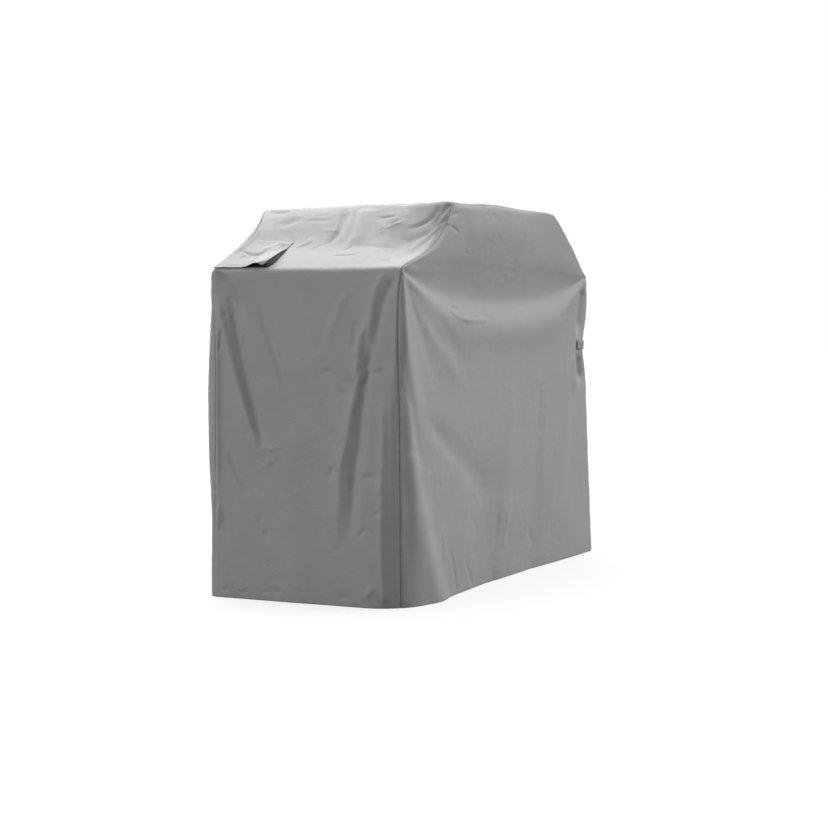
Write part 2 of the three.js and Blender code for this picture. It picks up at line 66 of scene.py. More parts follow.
# Seam corners from hem (up 0) to shoulder (1) and ridge (2): the sharp corner's place, the radius
# that rounds it, and how far round it the seam lies, in degrees from the end wall's side
cornerColumns = "up x y z radius turn"
corners = {
    "frontLeft": table(cornerColumns, [
        [0.00, -753, -327, 0, 130, 48],
        [0.13, -750, -323, 126, 106, 47],
        [0.28, -747, -319, 271, 80, 47],
        [0.44, -743, -315, 426, 58, 45],
        [0.58, -741, -312, 561, 42, 43],
        [0.72, -739, -310, 697, 28, 33],
        [0.84, -737, -307, 813, 18, 20],
        [0.94, -736, -306, 910, 12, 20],
        [1.00, -733, -308, 971, 8, 58],
        [1.10, -701, -308, 984, 9, 52],
        [1.25, -642, -311, 1001, 13, 50],
        [1.40, -580, -313, 1021, 19, 48],
        [1.60, -506, -315, 1057, 26, 46],
        [1.75, -456, -316, 1096, 30, 45],
        [1.87, -428, -316, 1130, 30, 45],
        [2.00, -397, -316, 1176, 26, 45],
    ]),
    "frontRight": table(cornerColumns, [
        [0.00, 757, -325, 0, 14, 50],
        [0.10, 756, -322, 97, 14, 50],
        [0.26, 746, -317, 252, 14, 50],
        [0.42, 743, -314, 407, 18, 50],
        [0.62, 745, -310, 600, 30, 50],
        [0.70, 740, -308, 678, 40, 50],
        [0.755, 713, -307, 731, 40, 50],
        [0.80, 738, -307, 774, 34, 50],
        [0.90, 749, -306, 871, 16, 50],
        [1.00, 743, -305, 968, 12, 48],
        [1.15, 700, -308, 990, 14, 48],
        [1.30, 664, -310, 1014, 16, 46],
        [1.42, 630, -312, 1042, 20, 45],
        [1.60, 570, -314, 1082, 20, 45],
        [1.85, 464, -316, 1140, 14, 45],
        [2.00, 399, -316, 1171, 12, 45],
    ]),
    "backLeft": table(cornerColumns, [
        [0.00, -755, 324, 0, 30, 20],
        [0.25, -749, 329, 242, 34, 18],
        [0.42, -745, 345, 407, 48, 8],
        [0.62, -742, 360, 600, 66, 8],
        [0.76, -740, 347, 736, 50, 8],
        [0.90, -737, 331, 871, 32, 26],
        [1.00, -735, 324, 968, 12, 45],
        [1.20, -667, 334, 1008, 40, 14],
        [1.42, -593, 326, 1052, 48, 6],
        [1.65, -515, 317, 1099, 30, 6],
        [1.85, -448, 330, 1137, 24, 26],
        [2.00, -397, 345, 1163, 18, 42],
    ]),
    "backRight": table(cornerColumns, [
        [0.00, 770, 319, 0, 32, 45],
        [0.30, 752, 317, 290, 32, 45],
        [0.62, 746, 312, 600, 32, 45],
        [0.755, 732, 309, 731, 40, 45],
        [0.86, 742, 308, 832, 26, 45],
        [1.00, 741, 305, 968, 12, 45],
        [1.35, 632, 310, 1032, 22, 45],
        [1.70, 505, 322, 1106, 26, 45],
        [2.00, 397, 336, 1169, 24, 45],
    ]),
}

# Rise of the hood's front edge above a straight line from ridge to ridge
hoodCrown = table("share rise", [[0, 0], [0.08, -2], [0.17, -2], [0.27, 3.5], [0.46, 6], [0.58, 2.5],
                                 [0.72, 2], [0.85, 3], [0.93, 4], [1, 0]])

# Folds run along a curve through three places, across the panel and up it, from their sharp end to
# where they fade. rise is their height (a trough where negative), near and far their half widths at
# the two ends, lean makes one flank steeper, and crisp (0 to 1) sharpens the crest.
foldColumns = "fromU fromV viaU viaV toU toV rise near far lean crisp"
frontFolds = table(foldColumns, [
    [-747, 955, -705, 736, -593, 402, 9, 16, 42, 0.45, 0],
    [-709, 950, -603, 777, -431, 547, -3, 12, 34, 0, 0],
    [-588, 814, -462, 717, -271, 600, 3, 18, 34, 0, 0],
    [-586, 889, -446, 787, -298, 674, -2.2, 16, 30, 0, 0],
    [-693, 608, -662, 306, -523, -36, 6, 18, 60, 0, 0],
    [-730, 652, -712, 368, -695, 66, -5, 12, 20, 0, 0],
    [-680, 465, -638, 223, -517, -49, 5, 40, 74, 0, 0],
    [-658, 320, -600, 138, -510, -62, 5, 60, 80, 0, 0],
    [-619, 201, -569, 64, -504, -69, 4, 70, 84, 0, 0],
    [-560, 520, -312, 389, -90, 285, -6, 30, 60, 0, 0],
    [-330, 1092, 0, 1098, 330, 1092, 8, 62, 62, 0, 0],
    [-170, 430, -160, 200, -150, 0, -8, 120, 170, 0, 0],
    [-140, 260, -140, 120, -140, 0, -7, 110, 190, 0, 0],
    [160, 420, 170, 200, 190, 0, -7, 130, 230, 0, 0],
    [150, 240, 160, 110, 170, 0, -5, 120, 230, 0, 0],
    [60, 640, 10, 335, -60, 40, 4, 34, 60, 0, 0],
    [300, 620, 254, 315, 215, 40, -4, 34, 60, 0, 0],
    [560, 700, 508, 380, 470, 60, 4, 30, 60, 0, 0],
    [706, 925, 677, 847, 650, 742, -15, 16, 24, 0, 0],
    [666, 702, 662, 648, 700, 590, -15, 24, 30, 0, 0],
    [610, 700, 598, 635, 600, 560, 6, 22, 34, 0, 0],
])
leftFolds = table(foldColumns, [
    [296, 896, 227, 655, 144, 411, 10, 9, 14, 0.5, 0.6],
    [255, 884, 199, 656, 127, 406, -13, 10, 16, 0, 0],
    [289, 949, 261, 902, 241, 855, -4, 9, 13, 0, 0],
    [-255, 956, -215, 869, -209, 736, 6, 9, 11, 0.4, 0.4],
    [-281, 944, -240, 849, -225, 722, -8, 9, 13, 0, 0],
    [-189, 809, -180, 730, -162, 638, 7, 7, 10, 0.3, 0],
    [-206, 682, -136, 489, -99, 125, 8, 10, 18, 0.5, 0.7],
    [-215, 750, -172, 479, -138, 128, -13, 10, 20, 0, 0],
    [-254, 595, -251, 311, -258, 26, 9, 7, 10, 0.3, 0.6],
    [-294, 610, -296, 313, -297, 29, -9, 11, 14, 0, 0],
    [60, 520, 32, 265, 30, 20, 3, 36, 60, 0, 0],
])
rightFolds = table(foldColumns, [
    [290, 930, 225, 658, 190, 300, -7, 10, 34, 0, 0],
    [-285, 925, -204, 686, -150, 380, -7, 10, 34, 0, 0],
    [-240, 700, -158, 415, -110, 40, 7, 24, 46, 0, 0],
    [220, 690, 148, 392, 130, 40, 6, 24, 46, 0, 0],
    [0, 640, -10, 350, 0, 40, -4, 40, 60, 0, 0],
])
backFolds = table(foldColumns, [
    [-725, 940, -609, 605, -470, 200, 9, 10, 44, 0, 0],
    [-705, 920, -529, 690, -330, 400, -8, 10, 44, 0, 0],
    [715, 935, 604, 581, 500, 150, 8, 10, 44, 0, 0],
    [690, 915, 515, 694, 330, 460, -8, 10, 44, 0, 0],
    [-180, 620, -185, 312, -160, 30, 5, 36, 60, 0, 0],
    [120, 640, 152, 318, 190, 30, -5, 36, 60, 0, 0],
])
slopeFolds = table(foldColumns, [
    [-330, 1361, -60, 1363, 330, 1361, 3, 40, 70, 0, 0],
    [-235, 1361, -90, 1363, 140, 1361, 4, 40, 60, 0, 0],
    [-300, 1150, -20, 1150, 380, 1160, -15, 95, 95, 0, 0],
    [-276, 1237, -245, 1196, -215, 1166, -4, 9, 16, 0, 0],
    [-350, 1197, -320, 1139, -275, 1069, -3, 10, 22, 0, 0],
    [36, 1320, 7, 1212, 32, 1120, -5, 8, 12, 0, 0],
    [13, 1345, -22, 1229, -30, 1125, 4, 12, 18, 0, 0],
    [-28, 1336, -59, 1215, -73, 1123, 8, 24, 28, -0.6, 0],
])

# Creases are the smaller, sharper marks in the same columns, as the cloth shows them
leftCreases = table(foldColumns, [
    [303, 964, 251, 916, 207, 825, -10, 5, 9, 0, 0.3],
    [159, 852, 108, 733, 54, 574, -5, 6, 7, 0, 0.3],
    [285, 828, 273, 837, 258, 840, -4, 5, 5, 0, 0.3],
    [210, 779, 208, 752, 210, 723, -7, 5, 6, 0, 0.3],
    [287, 793, 289, 755, 296, 710, -7, 4, 4, 0, 0.4],
    [296, 813, 294, 524, 291, 251, 7, 6, 7, -0.6, 0.6],
    [291, 278, 290, 243, 293, 192, 7, 7, 7, -0.6, 0.4],
    [-208, 685, -184, 647, -155, 593, -6, 4, 5, 0, 0.5],
    [-209, 672, -232, 672, -263, 675, -6, 4.5, 4.5, 0, 0.3],
    [-54, 674, -74, 674, -87, 671, -4, 4, 4, 0, 0.4],
    [-126, 645, -145, 645, -165, 644, -4, 4, 4, 0, 0.4],
    [-113, 623, -129, 611, -142, 609, -4, 4, 4, 0, 0.4],
    [151, 446, 117, 447, 71, 454, 4, 6, 5, 0, 0.2],
    [138, 388, 121, 403, 104, 412, 5, 4, 4, 0, 0.3],
    [255, 425, 226, 364, 171, 283, -6, 5, 7, 0, 0.3],
    [151, 255, 147, 240, 144, 226, -3, 8, 8, 0, 0],
    [124, 209, 127, 189, 120, 171, -3, 6, 6, 0, 0.3],
    [-79, 367, -85, 384, -95, 402, -6, 5, 5, 0, 0.3],
    [-161, 818, -158, 772, -151, 729, -4, 6, 7, 0, 0.2],
    [-174, 784, -171, 749, -161, 710, 5, 6, 7, 0, 0.2],
    [-128, 900, -102, 835, -57, 728, 2.5, 10, 18, 0, 0],
    [-156, 378, -153, 355, -147, 329, -4, 6, 6, 0, 0.2],
    [-182, 374, -211, 376, -233, 376, -5, 4.5, 4.5, 0, 0.3],
    [-252, 362, -243, 345, -234, 322, 4, 7, 8, 0, 0.2],
    [-173, 202, -189, 217, -205, 232, -4, 4.5, 4.5, 0, 0.4],
    [-224, 273, -237, 273, -253, 274, -4, 4.5, 4.5, 0, 0.3],
    [-93, 161, -106, 160, -119, 161, -3.5, 4.5, 4.5, 0, 0.3],
    [-222, 61, -213, 46, -200, 31, 4, 7, 8, 0, 0.3],
    [-116, 25, -132, 27, -148, 25, -3.5, 5, 5, 0, 0.3],
    [274, 23, 263, 24, 253, 25, -3, 5, 5, 0, 0.3],
    [212, 23, 201, 22, 188, 23, -3, 5, 5, 0, 0.3],
    [140, 26, 130, 25, 116, 28, -3, 5, 5, 0, 0.3],
    [99, 32, 86, 31, 72, 33, -3, 6, 6, 0, 0.3],
])
frontCreases = table(foldColumns, [
    [40, 254, 1, 177, -38, 83, 5, 7, 9, 0, 0.4],
    [-59, 215, -71, 160, -97, 114, -5, 7, 9, 0, 0.4],
    [197, 169, 175, 134, 152, 103, 3, 8, 8, 0, 0.4],
    [196, 140, 218, 108, 242, 72, -3, 8, 8, 0, 0.4],
    [-483, 188, -485, 146, -485, 105, 4, 6, 8, 0, 0.4],
    [-435, 141, -413, 73, -392, 1, -2.8, 6, 10, 0, 0.4],
    [-316, 81, -293, 50, -273, 19, -2.8, 6, 8, 0, 0.4],
    [-104, 42, -98, 22, -85, -5, -3.2, 6, 8, 0, 0.4],
    [82, 69, 88, 59, 97, 47, -2, 5, 5, 0, 0.3],
    [-502, 445, -493, 435, -485, 425, -2, 4, 4, 0, 0.3],
    [-512, 375, -506, 348, -501, 321, -2, 4, 5, 0, 0.4],
    [-410, 851, -340, 827, -268, 821, 3.5, 6, 7, 0, 0.4],
    [-340, 825, -231, 819, -117, 822, 4, 6, 7, 0, 0.4],
    [-398, 855, -366, 854, -340, 852, -4, 6, 6, 0, 0.4],
    [-193, 845, -146, 832, -103, 822, -2, 4, 4, 0, 0.4],
    [145, 864, 187, 863, 230, 861, -2, 4, 4, 0, 0.4],
    [-425, 1098, -391, 1089, -362, 1076, -4, 4, 5, 0, 0.4],
    [-462, 1095, -444, 1097, -425, 1098, -4, 4, 4, 0, 0.4],
    [-412, 1130, -388, 1134, -362, 1137, -4, 4, 4, 0, 0.4],
    [-315, 1027, -306, 1022, -296, 1016, -2, 4, 4, 0, 0.4],
])
slopeCreases = table(foldColumns, [
    [-273, 1349, -253, 1284, -202, 1228, -7.8, 4, 5, 0, 0.3],
    [-309, 1357, -283, 1308, -274, 1243, -7.8, 5, 6, 0, 0.3],
    [-333, 1336, -305, 1294, -259, 1207, -7.8, 4, 6, 0, 0.3],
    [-322, 1300, -286, 1237, -252, 1082, 6.5, 4, 8, 0, 0.3],
    [-236, 1154, -241, 1112, -255, 1058, 3.9, 6, 8, 0, 0.2],
    [207, 1089, 184, 1125, 163, 1168, 4.5, 12, 14, 0, 0.2],
    [267, 1079, 212, 1059, 189, 1095, -3.9, 8, 10, 0, 0],
    [298, 1333, 263, 1328, 222, 1323, -3.4, 12, 12, 0, 0],
    [169, 1294, 200, 1264, 240, 1246, -3.9, 18, 20, 0, 0],
    [140, 1277, 96, 1272, 52, 1273, -2.1, 7, 9, 0, 0.2],
    [65, 1220, 36, 1216, 4, 1212, 2, 6, 6, 0, 0.3],
    [113, 1135, 92, 1147, 85, 1190, 3.9, 6, 7, 0, 0.3],
    [51, 1091, 46, 1115, 40, 1145, -3.9, 5, 6, 0, 0.4],
    [-202, 1128, -139, 1124, -67, 1129, -2.1, 12, 12, 0, 0],
    [-73, 1123, -66, 1111, -56, 1103, -5.2, 5, 5, 0, 0.4],
    [-47, 1058, -86, 1060, -120, 1071, -3.2, 4, 4, 0, 0.4],
    [-208, 1033, -225, 1039, -240, 1056, 3.9, 4, 4, 0, 0.4],
    [-127, 1203, -138, 1215, -153, 1227, -5.2, 4, 4, 0, 0.4],
    [-130, 1197, -157, 1233, -189, 1265, 5.2, 4, 5, 0, 0.3],
    [-106, 1282, -128, 1284, -155, 1292, -5.2, 5, 6, 0, 0.2],
    [-172, 1266, -157, 1248, -152, 1199, -3.9, 6, 8, 0, 0.2],
    [-345, 1210, -352, 1208, -361, 1209, -6.5, 4, 4, 0, 0.5],
    [-329, 1253, -335, 1234, -341, 1216, -3.9, 4, 4, 0, 0.4],
])

# How every table's folds are drawn
foldShape = {
    "steps": 16,              # straight bits of a fold's curve
    "reach": 3.2,             # how many half widths away it still counts
    "crispFall": 1.5,
    "startShare": 0.2,        # height right at its sharp end
    "startWidths": 1.4,       # how soon it gains its full height, in half widths
    "startLeast": 0.12,       # and at least this share of its length
    "fadeShare": 0.3,         # share of its length over which the far end fades
    "footHeight": 60,         # a fold that goes below this runs on into the hem
}

# The front and back sag in a swag hung from the shoulder corners, hollow above it and bellied below
frontSwag = {
    "dip": 85,                # how far its line hangs down in the middle
    "roundness": 0.75,
    "hollow": 18,
    "hollowAbove": 78,
    "hollowBelow": 50,
    "belly": 6.5,
    "bellyBelow": 98,
    "bellyReach": 58,
    "narrowest": 0.12,        # its breadth at the corners, against 1 in the middle
    "narrowing": 0.5,         # share of the way to the middle in which it gets that broad
    "fading": 0.6,            # how it flattens as it narrows
}
backSwag = {**frontSwag, "dip": 90, "hollow": 16, "belly": 6}

# Wrinkles that no table names: height and pitch in millimetres, and their seeds
wrinkles = {
    "wander": 5, "wanderPitch": 90, "wanderSeed": 11,
    "swell": 1.3, "swellPitch": 190, "swellSeed": 21,
    "ripple": 0.5, "ripplePitch": 62, "rippleSeed": 31, "rippleStretch": 0.7,
    "crumple": 0.55, "crumplePitch": 27, "crumpleSeed": 41, "crumpleSharp": 0.8,
    "bend": 14, "bendPitch": 48,
    "patchPitch": 130, "patchSeed": 51, "patchContrast": 0.9,
}
# How far the wrinkles are shifted, so that no two cloths have the same ones
wrinkleShift = {"panels": 2000, "runs": 700}


def clamp01(value):
    return np.clip(value, 0.0, 1.0)


def ease(value):
    value = clamp01(value)
    return value * value * (3 - 2 * value)


def hill(distance, width):
    return np.exp(-(distance / width) ** 2)


def mix(a, b, t):
    return a + (b - a) * t


# How far a rounded corner falls away, where share is the sine of the angle round it
def arcDrop(radius, share):
    return radius * (1 - np.sqrt(1 - np.minimum(share, 0.999) ** 2))


def unit(vectors):
    return vectors / np.maximum(1e-9, np.linalg.norm(vectors, axis=-1, keepdims=True))


def smoothNoise(u, v, pitch, seed):
    side = 128
    lattice = np.random.default_rng(seed).uniform(-1, 1, (side, side))
    x, y = u / pitch + 61.3, v / pitch + 47.7  # the lattice starts off the cover
    column, row = np.floor(x).astype(int), np.floor(y).astype(int)
    tx, ty = ease(x - column), ease(y - row)
    pick = lambda i, j: lattice[(row + j) % side, (column + i) % side]
    return mix(mix(pick(0, 0), pick(1, 0), tx), mix(pick(0, 1), pick(1, 1), tx), ty)


def lineNoise(along, pitch, seed):
    return smoothNoise(along, along * 0, pitch, seed)


def foldLift(folds, u, v):
    lift = np.zeros(np.broadcast(u, v).shape)
    u, v = np.broadcast_to(u, lift.shape), np.broadcast_to(v, lift.shape)
    steps = foldShape["steps"]
    t = np.linspace(0, 1, steps + 1)
    for i in range(len(folds["rise"])):
        row = {name: column[i] for name, column in folds.items()}
        bend = lambda a, b, c: (1 - t) ** 2 * a + t * (1 - t) * (4 * b - a - c) + t * t * c
        lineU = bend(row["fromU"], row["viaU"], row["toU"])
        lineV = bend(row["fromV"], row["viaV"], row["toV"])
        reach = foldShape["reach"] * max(row["near"], row["far"])
        close = ((u > lineU.min() - reach) & (u < lineU.max() + reach)
                 & (v > lineV.min() - reach) & (v < lineV.max() + reach))
        if not close.any():
            continue
        placeU, placeV = u[close], v[close]
        nearest = np.full(placeU.shape, 1e9)
        along = np.zeros(placeU.shape)
        side = np.zeros(placeU.shape)
        for k in range(steps):
            du, dv = lineU[k + 1] - lineU[k], lineV[k + 1] - lineV[k]
            share = clamp01(((placeU - lineU[k]) * du + (placeV - lineV[k]) * dv) / (du * du + dv * dv))
            offU, offV = placeU - lineU[k] - share * du, placeV - lineV[k] - share * dv
            distance = np.hypot(offU, offV)
            closer = distance < nearest
            nearest = np.where(closer, distance, nearest)
            along = np.where(closer, (k + share) / steps, along)
            side = np.where(closer, (du * offV - dv * offU) / math.hypot(du, dv), side)
        width = mix(row["near"], row["far"], along)
        width = width * (1 + row["lean"] * np.tanh(side / width))
        away = nearest / width
        profile = mix(np.exp(-away ** 2), np.exp(-foldShape["crispFall"] * away), row["crisp"])
        length = math.hypot(lineU[-1] - lineU[0], lineV[-1] - lineV[0])
        start = max(foldShape["startLeast"], foldShape["startWidths"] * row["near"] / length)
        gain = mix(foldShape["startShare"], 1, ease(along / start))
        runsOn = row["toV"] < foldShape["footHeight"] and row["fromV"] > row["toV"]
        fade = 1.0 if runsOn else ease((1 - along) / foldShape["fadeShare"])
        lift[close] += row["rise"] * gain * fade * profile
    return lift


def wrinkleLift(u, v, shift):
    w = wrinkles
    u = u + shift
    swell = smoothNoise(u, v, w["swellPitch"], w["swellSeed"])
    ripple = smoothNoise(u, v * w["rippleStretch"], w["ripplePitch"], w["rippleSeed"])
    bentU = u + w["bend"] * smoothNoise(u, v, w["bendPitch"], w["crumpleSeed"] + 1)
    bentV = v + w["bend"] * smoothNoise(u, v, w["bendPitch"], w["crumpleSeed"] + 2)
    crest = np.abs(smoothNoise(bentU, bentV, w["crumplePitch"], w["crumpleSeed"])) ** w["crumpleSharp"]
    patch = ease(0.5 + w["patchContrast"] * smoothNoise(u, v, w["patchPitch"], w["patchSeed"]))
    return w["swell"] * swell + w["ripple"] * ripple + w["crumple"] * (1 - 2 * crest) * patch


# A table's folds wander a little from their drawn lines
def wanderedPlace(u, v, shift):
    w = wrinkles
    sway = smoothNoise(u + shift, v, w["wanderPitch"], w["wanderSeed"])
    swing = smoothNoise(u + shift, v, w["wanderPitch"], w["wanderSeed"] + 1)
    return u + w["wander"] * sway, v + w["wander"] * swing


def swagHeight(x, z, swag):
    across = clamp01(np.abs(x) / cover["shoulderHalf"])
    line = shoulder - swag["dip"] * (1 - across ** 2) ** swag["roundness"]
    spread = mix(swag["narrowest"], 1, ease((1 - across) / swag["narrowing"]))
    above = (z - line) / spread
    hollow = swag["hollow"] * hill(above, np.where(above > 0, swag["hollowAbove"], swag["hollowBelow"]))
    belly = swag["belly"] * hill(above + swag["bellyBelow"], swag["bellyReach"])
    return spread ** swag["fading"] * (belly - hollow)


# Over what length the bends of a seam's line are rounded off: at the shoulders and at each ridge, how
# that grows away from them, and its limit
bends = {
    "shoulder": 10,
    "leftRidge": 16,
    "rightRidge": 6,
    "growth": 0.2,
    "limit": 40.0,
    "samples": 9,             # places that each point of the line is the mean of
    "step": 1.5,
}


def upShare(run):
    return np.where(run <= shoulder, run / shoulder, 1 + (run - shoulder) / slopeLength)


# One corner line over the whole strip: up the left, across the top and down the right
def lineAt(side, run, name):
    run = np.clip(run, 0, stripRun)
    left, right = corners[side + "Left"], corners[side + "Right"]
    share = clamp01((run - sideRun) / (2 * ridgeHalf))
    a = np.interp(upShare(np.minimum(run, sideRun)), left["up"], left[name])
    b = np.interp(upShare(np.minimum(stripRun - run, sideRun)), right["up"], right[name])
    crown = np.interp(share, hoodCrown["share"], hoodCrown["rise"]) if side + name == "frontz" else 0.0
    return mix(a, b, share) + crown


def softLine(side, run):
    run = np.asarray(run, float)
    fromShoulder = np.minimum(abs(run - shoulder), abs(run - stripRun + shoulder))
    reach = np.minimum.reduce([
        bends["shoulder"] + bends["growth"] * fromShoulder,
        bends["leftRidge"] + bends["growth"] * abs(run - sideRun),
        bends["rightRidge"] + bends["growth"] * abs(stripRun - sideRun - run),
        np.full(run.shape, bends["limit"]),
        np.minimum(run, stripRun - run),
    ])
    taps = np.linspace(-1, 1, bends["samples"])
    mean = lambda name, by=0.0: sum(lineAt(side, run + by + tap * reach, name) for tap in taps) / len(taps)
    slope = lambda name: mean(name, bends["step"]) - mean(name, -bends["step"])
    line = {name: mean(name) for name in ("x", "y", "z", "radius")}
    line["turn"] = np.radians(mean("turn"))
    tangentX, tangentZ = slope("x"), slope("z")
    length = np.hypot(tangentX, tangentZ)
    line["normalX"], line["normalZ"] = -tangentZ / length, tangentX / length
    line["inset"] = line["radius"] * (1 - np.cos(line["turn"]))
    line["back"] = line["radius"] * (1 - np.sin(line["turn"]))
    line["seamX"] = line["x"] - line["normalX"] * line["inset"]
    line["seamY"] = line["y"] - np.sign(line["y"]) * line["back"]
    line["seamZ"] = line["z"] - line["normalZ"] * line["inset"]
    return line


# Direction that faces straight out of the seam, shared by the two cloths that meet there
def seamNormal(line, side):
    outward = -1.0 if side == "front" else 1.0
    return np.stack([
        np.cos(line["turn"]) * line["normalX"],
        np.sin(line["turn"]) * outward,
        np.cos(line["turn"]) * line["normalZ"],
    ], axis=-1)


stripShape = {
    "topBlend": 60.0,         # how far behind the front seam the top has left that seam's line
    "wallBlend": 165.0,       # and the walls and slopes
    "foldFade": 24,           # how near a seam the folds fade, and the creases
    "creaseFade": 7,
    "sagFade": 200,           # how far from the front seam the top sags in full
    "columns": 76,
}


# Places of the strip at a run and a depth y, with its main folds
def stripSurface(run, y):
    back, front = softLine("back", run), softLine("front", run)
    fromFront, fromBack = y - front["seamY"], back["seamY"] - y
    overTop = (run > sideRun) & (run < stripRun - sideRun)
    droop = 1 - ease(fromFront / np.where(overTop, stripShape["topBlend"], stripShape["wallBlend"]))
    inset = 0.0
    for line, distance in ((front, fromFront), (back, fromBack)):
        reach = np.maximum(1, line["radius"] * np.sin(line["turn"]))
        inset = inset + arcDrop(line["radius"], np.sin(line["turn"]) * clamp01(1 - distance / reach))
    normalX = mix(back["normalX"], front["normalX"], droop)
    normalZ = mix(back["normalZ"], front["normalZ"], droop)
    length = np.hypot(normalX, normalZ)
    normalX, normalZ = normalX / length, normalZ / length
    x = mix(back["x"], front["x"], droop) - normalX * inset
    z = mix(back["z"], front["z"], droop) - normalZ * inset
    sag = -cover["topSag"] * np.sin(math.pi * clamp01((run - sideRun) / (2 * ridgeHalf)))
    u, v = wanderedPlace(y, z, 0)
    _, along = wanderedPlace(y, run, wrinkleShift["runs"])
    onLeft, onSlope = run < shoulder, (run >= shoulder) & (run < stripRun / 2)
    lift = np.where(onLeft, foldLift(leftFolds, u, v), 0)
    lift = np.where(onSlope, foldLift(slopeFolds, u, along), lift)
    lift = lift + np.where(overTop, sag * ease(fromFront / stripShape["sagFade"]), 0)
    lift = np.where(run >= stripRun - sideRun, foldLift(rightFolds, u, v), lift)
    fine = np.where(onLeft, foldLift(leftCreases, y, z), 0)
    fine = np.where(onSlope, foldLift(slopeCreases, y, run), fine) + wrinkleLift(y, run, 0)
    nearSeams = lambda fade: ease(fromFront / fade) * ease(fromBack / fade)
    lift = lift * nearSeams(stripShape["foldFade"]) + fine * nearSeams(stripShape["creaseFade"])
    return np.stack([x + normalX * lift, y, z + normalZ * lift], axis=-1)


panelShape = {
    "topReach": 90,           # how far down a panel's face follows its top edge
    "leastSlant": 0.45,       # on the slopes its corner is rounded across, not down
    "foldFade": 16,           # how near its side seams the folds fade, and the creases
    "creaseFade": 7,
    "topFoldFade": 30,        # and near the top seam
    "topCreaseFade": 12,
    "topLip": (2.0, 5.0),     # depths of the rows turned in along the top seam
}


def topRunAt(share):
    return sideRun + (stripRun - 2 * sideRun) * share


# Places of the front or back panel at a run, across it from the left seam (0) to the right (1)
def panelSurface(side, run, share):
    left, right = softLine(side, run), softLine(side, stripRun - run)
    outward = -1.0 if side == "front" else 1.0
    x = mix(left["seamX"], right["seamX"], share)
    z = mix(left["seamZ"], right["seamZ"], share)
    face = mix(left["y"], right["y"], share)

    def falloff(line, distance):
        reach = np.maximum(1, line["radius"] * np.cos(line["turn"]))
        across = distance * np.maximum(np.abs(line["normalX"]), panelShape["leastSlant"])
        return arcDrop(line["radius"], np.cos(line["turn"]) * clamp01(1 - across / reach))

    fromLeft, fromRight, fromTop = x - left["seamX"], right["seamX"] - x, sideRun - run
    top = softLine(side, topRunAt(share))
    underTop = top["back"] * clamp01(1 - fromTop / top["radius"]) ** 2
    ends = softLine(side, np.array([sideRun, stripRun - sideRun]))
    nearTop = ease(1 - fromTop / panelShape["topReach"])
    z = z + nearTop * (top["seamZ"] - mix(*ends["seamZ"], share))
    face = face + nearTop * (top["y"] - mix(*ends["y"], share))
    recess = np.maximum(np.maximum(falloff(left, fromLeft), falloff(right, fromRight)), underTop)
    folds, swag = (frontFolds, frontSwag) if side == "front" else (backFolds, backSwag)
    shift = wrinkleShift["panels"] * outward
    lift = foldLift(folds, *wanderedPlace(x, z, shift)) + swagHeight(x, z, swag)
    fine = (foldLift(frontCreases, x, z) if side == "front" else 0.0) + wrinkleLift(x, z, shift)
    nearSeams = lambda fade, topFade: ease(np.minimum(fromLeft, fromRight) / fade) * ease(fromTop / topFade)
    lift = lift * nearSeams(panelShape["foldFade"], panelShape["topFoldFade"])
    lift = lift + fine * nearSeams(panelShape["creaseFade"], panelShape["topCreaseFade"])
    return np.stack([x, face - outward * recess + outward * lift, z], axis=-1)


def gridNormals(points):
    return unit(np.cross(np.gradient(points, axis=1), np.gradient(points, axis=0)))


def stations(*stretches):
    places = [np.array([stretches[0][0]], float)]
    for start, end, step in stretches:
        count = max(1, round(abs(end - start) / step))
        places.append(np.linspace(start, end, count + 1)[1:])
    return np.concatenate(places)


seam = {
    "depth": 2.6,             # how deep the seam line sinks
    "roll": 3.0,              # how far from it the cloth rolls over
    "dip": 0.9,               # the shallow dip beside it, and its width
    "dipWidth": 5.5,
    "shared": 6,              # how far from it the two cloths sink the same way
    "pucker": 0.8,
    "puckerPitch": 15,
    "puckerReach": 13,
    "puckerSeed": 71,
    "finePucker": 0.6,        # smaller puckers between, as shares of the height and the pitch
    "finePitch": 0.45,
}
# Distances from a seam at which the cloth gets its fine columns, the first two turned inwards
rollDistances = np.array([0.0, 0.0, 0.5, 1.2, 2.1, 3.2, 4.6, 6.4, 8.8, 12.0, 16.0, 21.0])
rollDepths = np.array([8.0, 4.5])
# How strongly the seam line shows along the strip, from the left hem to the right one
seamShow = {
    "front": table("run share", [[0, 1.7], [700, 1.7], [860, 1.3], [950, 0.9], [1005, 0.9], [1040, 0.12],
                                 [1320, 0.12], [1361, 0.3], [1440, 0.35], [2100, 0.35], [2200, 0.8],
                                 [3516, 1]]),
    "back": table("run share", [[0, 1.2], [960, 1.2], [1020, 2.4], [1361, 2.4], [1500, 1], [3516, 1]]),
}


def rollDepth(distance, share):
    inside = clamp01(1 - distance / (seam["roll"] * share))
    rolled = seam["depth"] * (1 - np.sqrt(1 - inside ** 2))
    return share * (rolled + seam["dip"] * hill(distance, seam["dipWidth"]))


# What sewEdges needs to know of an edge: distances from the seam, runs along it, its outward direction,
# how far each point is turned in, and how strongly the seam shows
def edgeOf(line, side, distance, run, turned):
    return {
        "distance": distance,
        "run": run,
        "normal": seamNormal(line, side),
        "turned": turned,
        "show": np.interp(run, seamShow[side]["run"], seamShow[side]["share"]),
    }


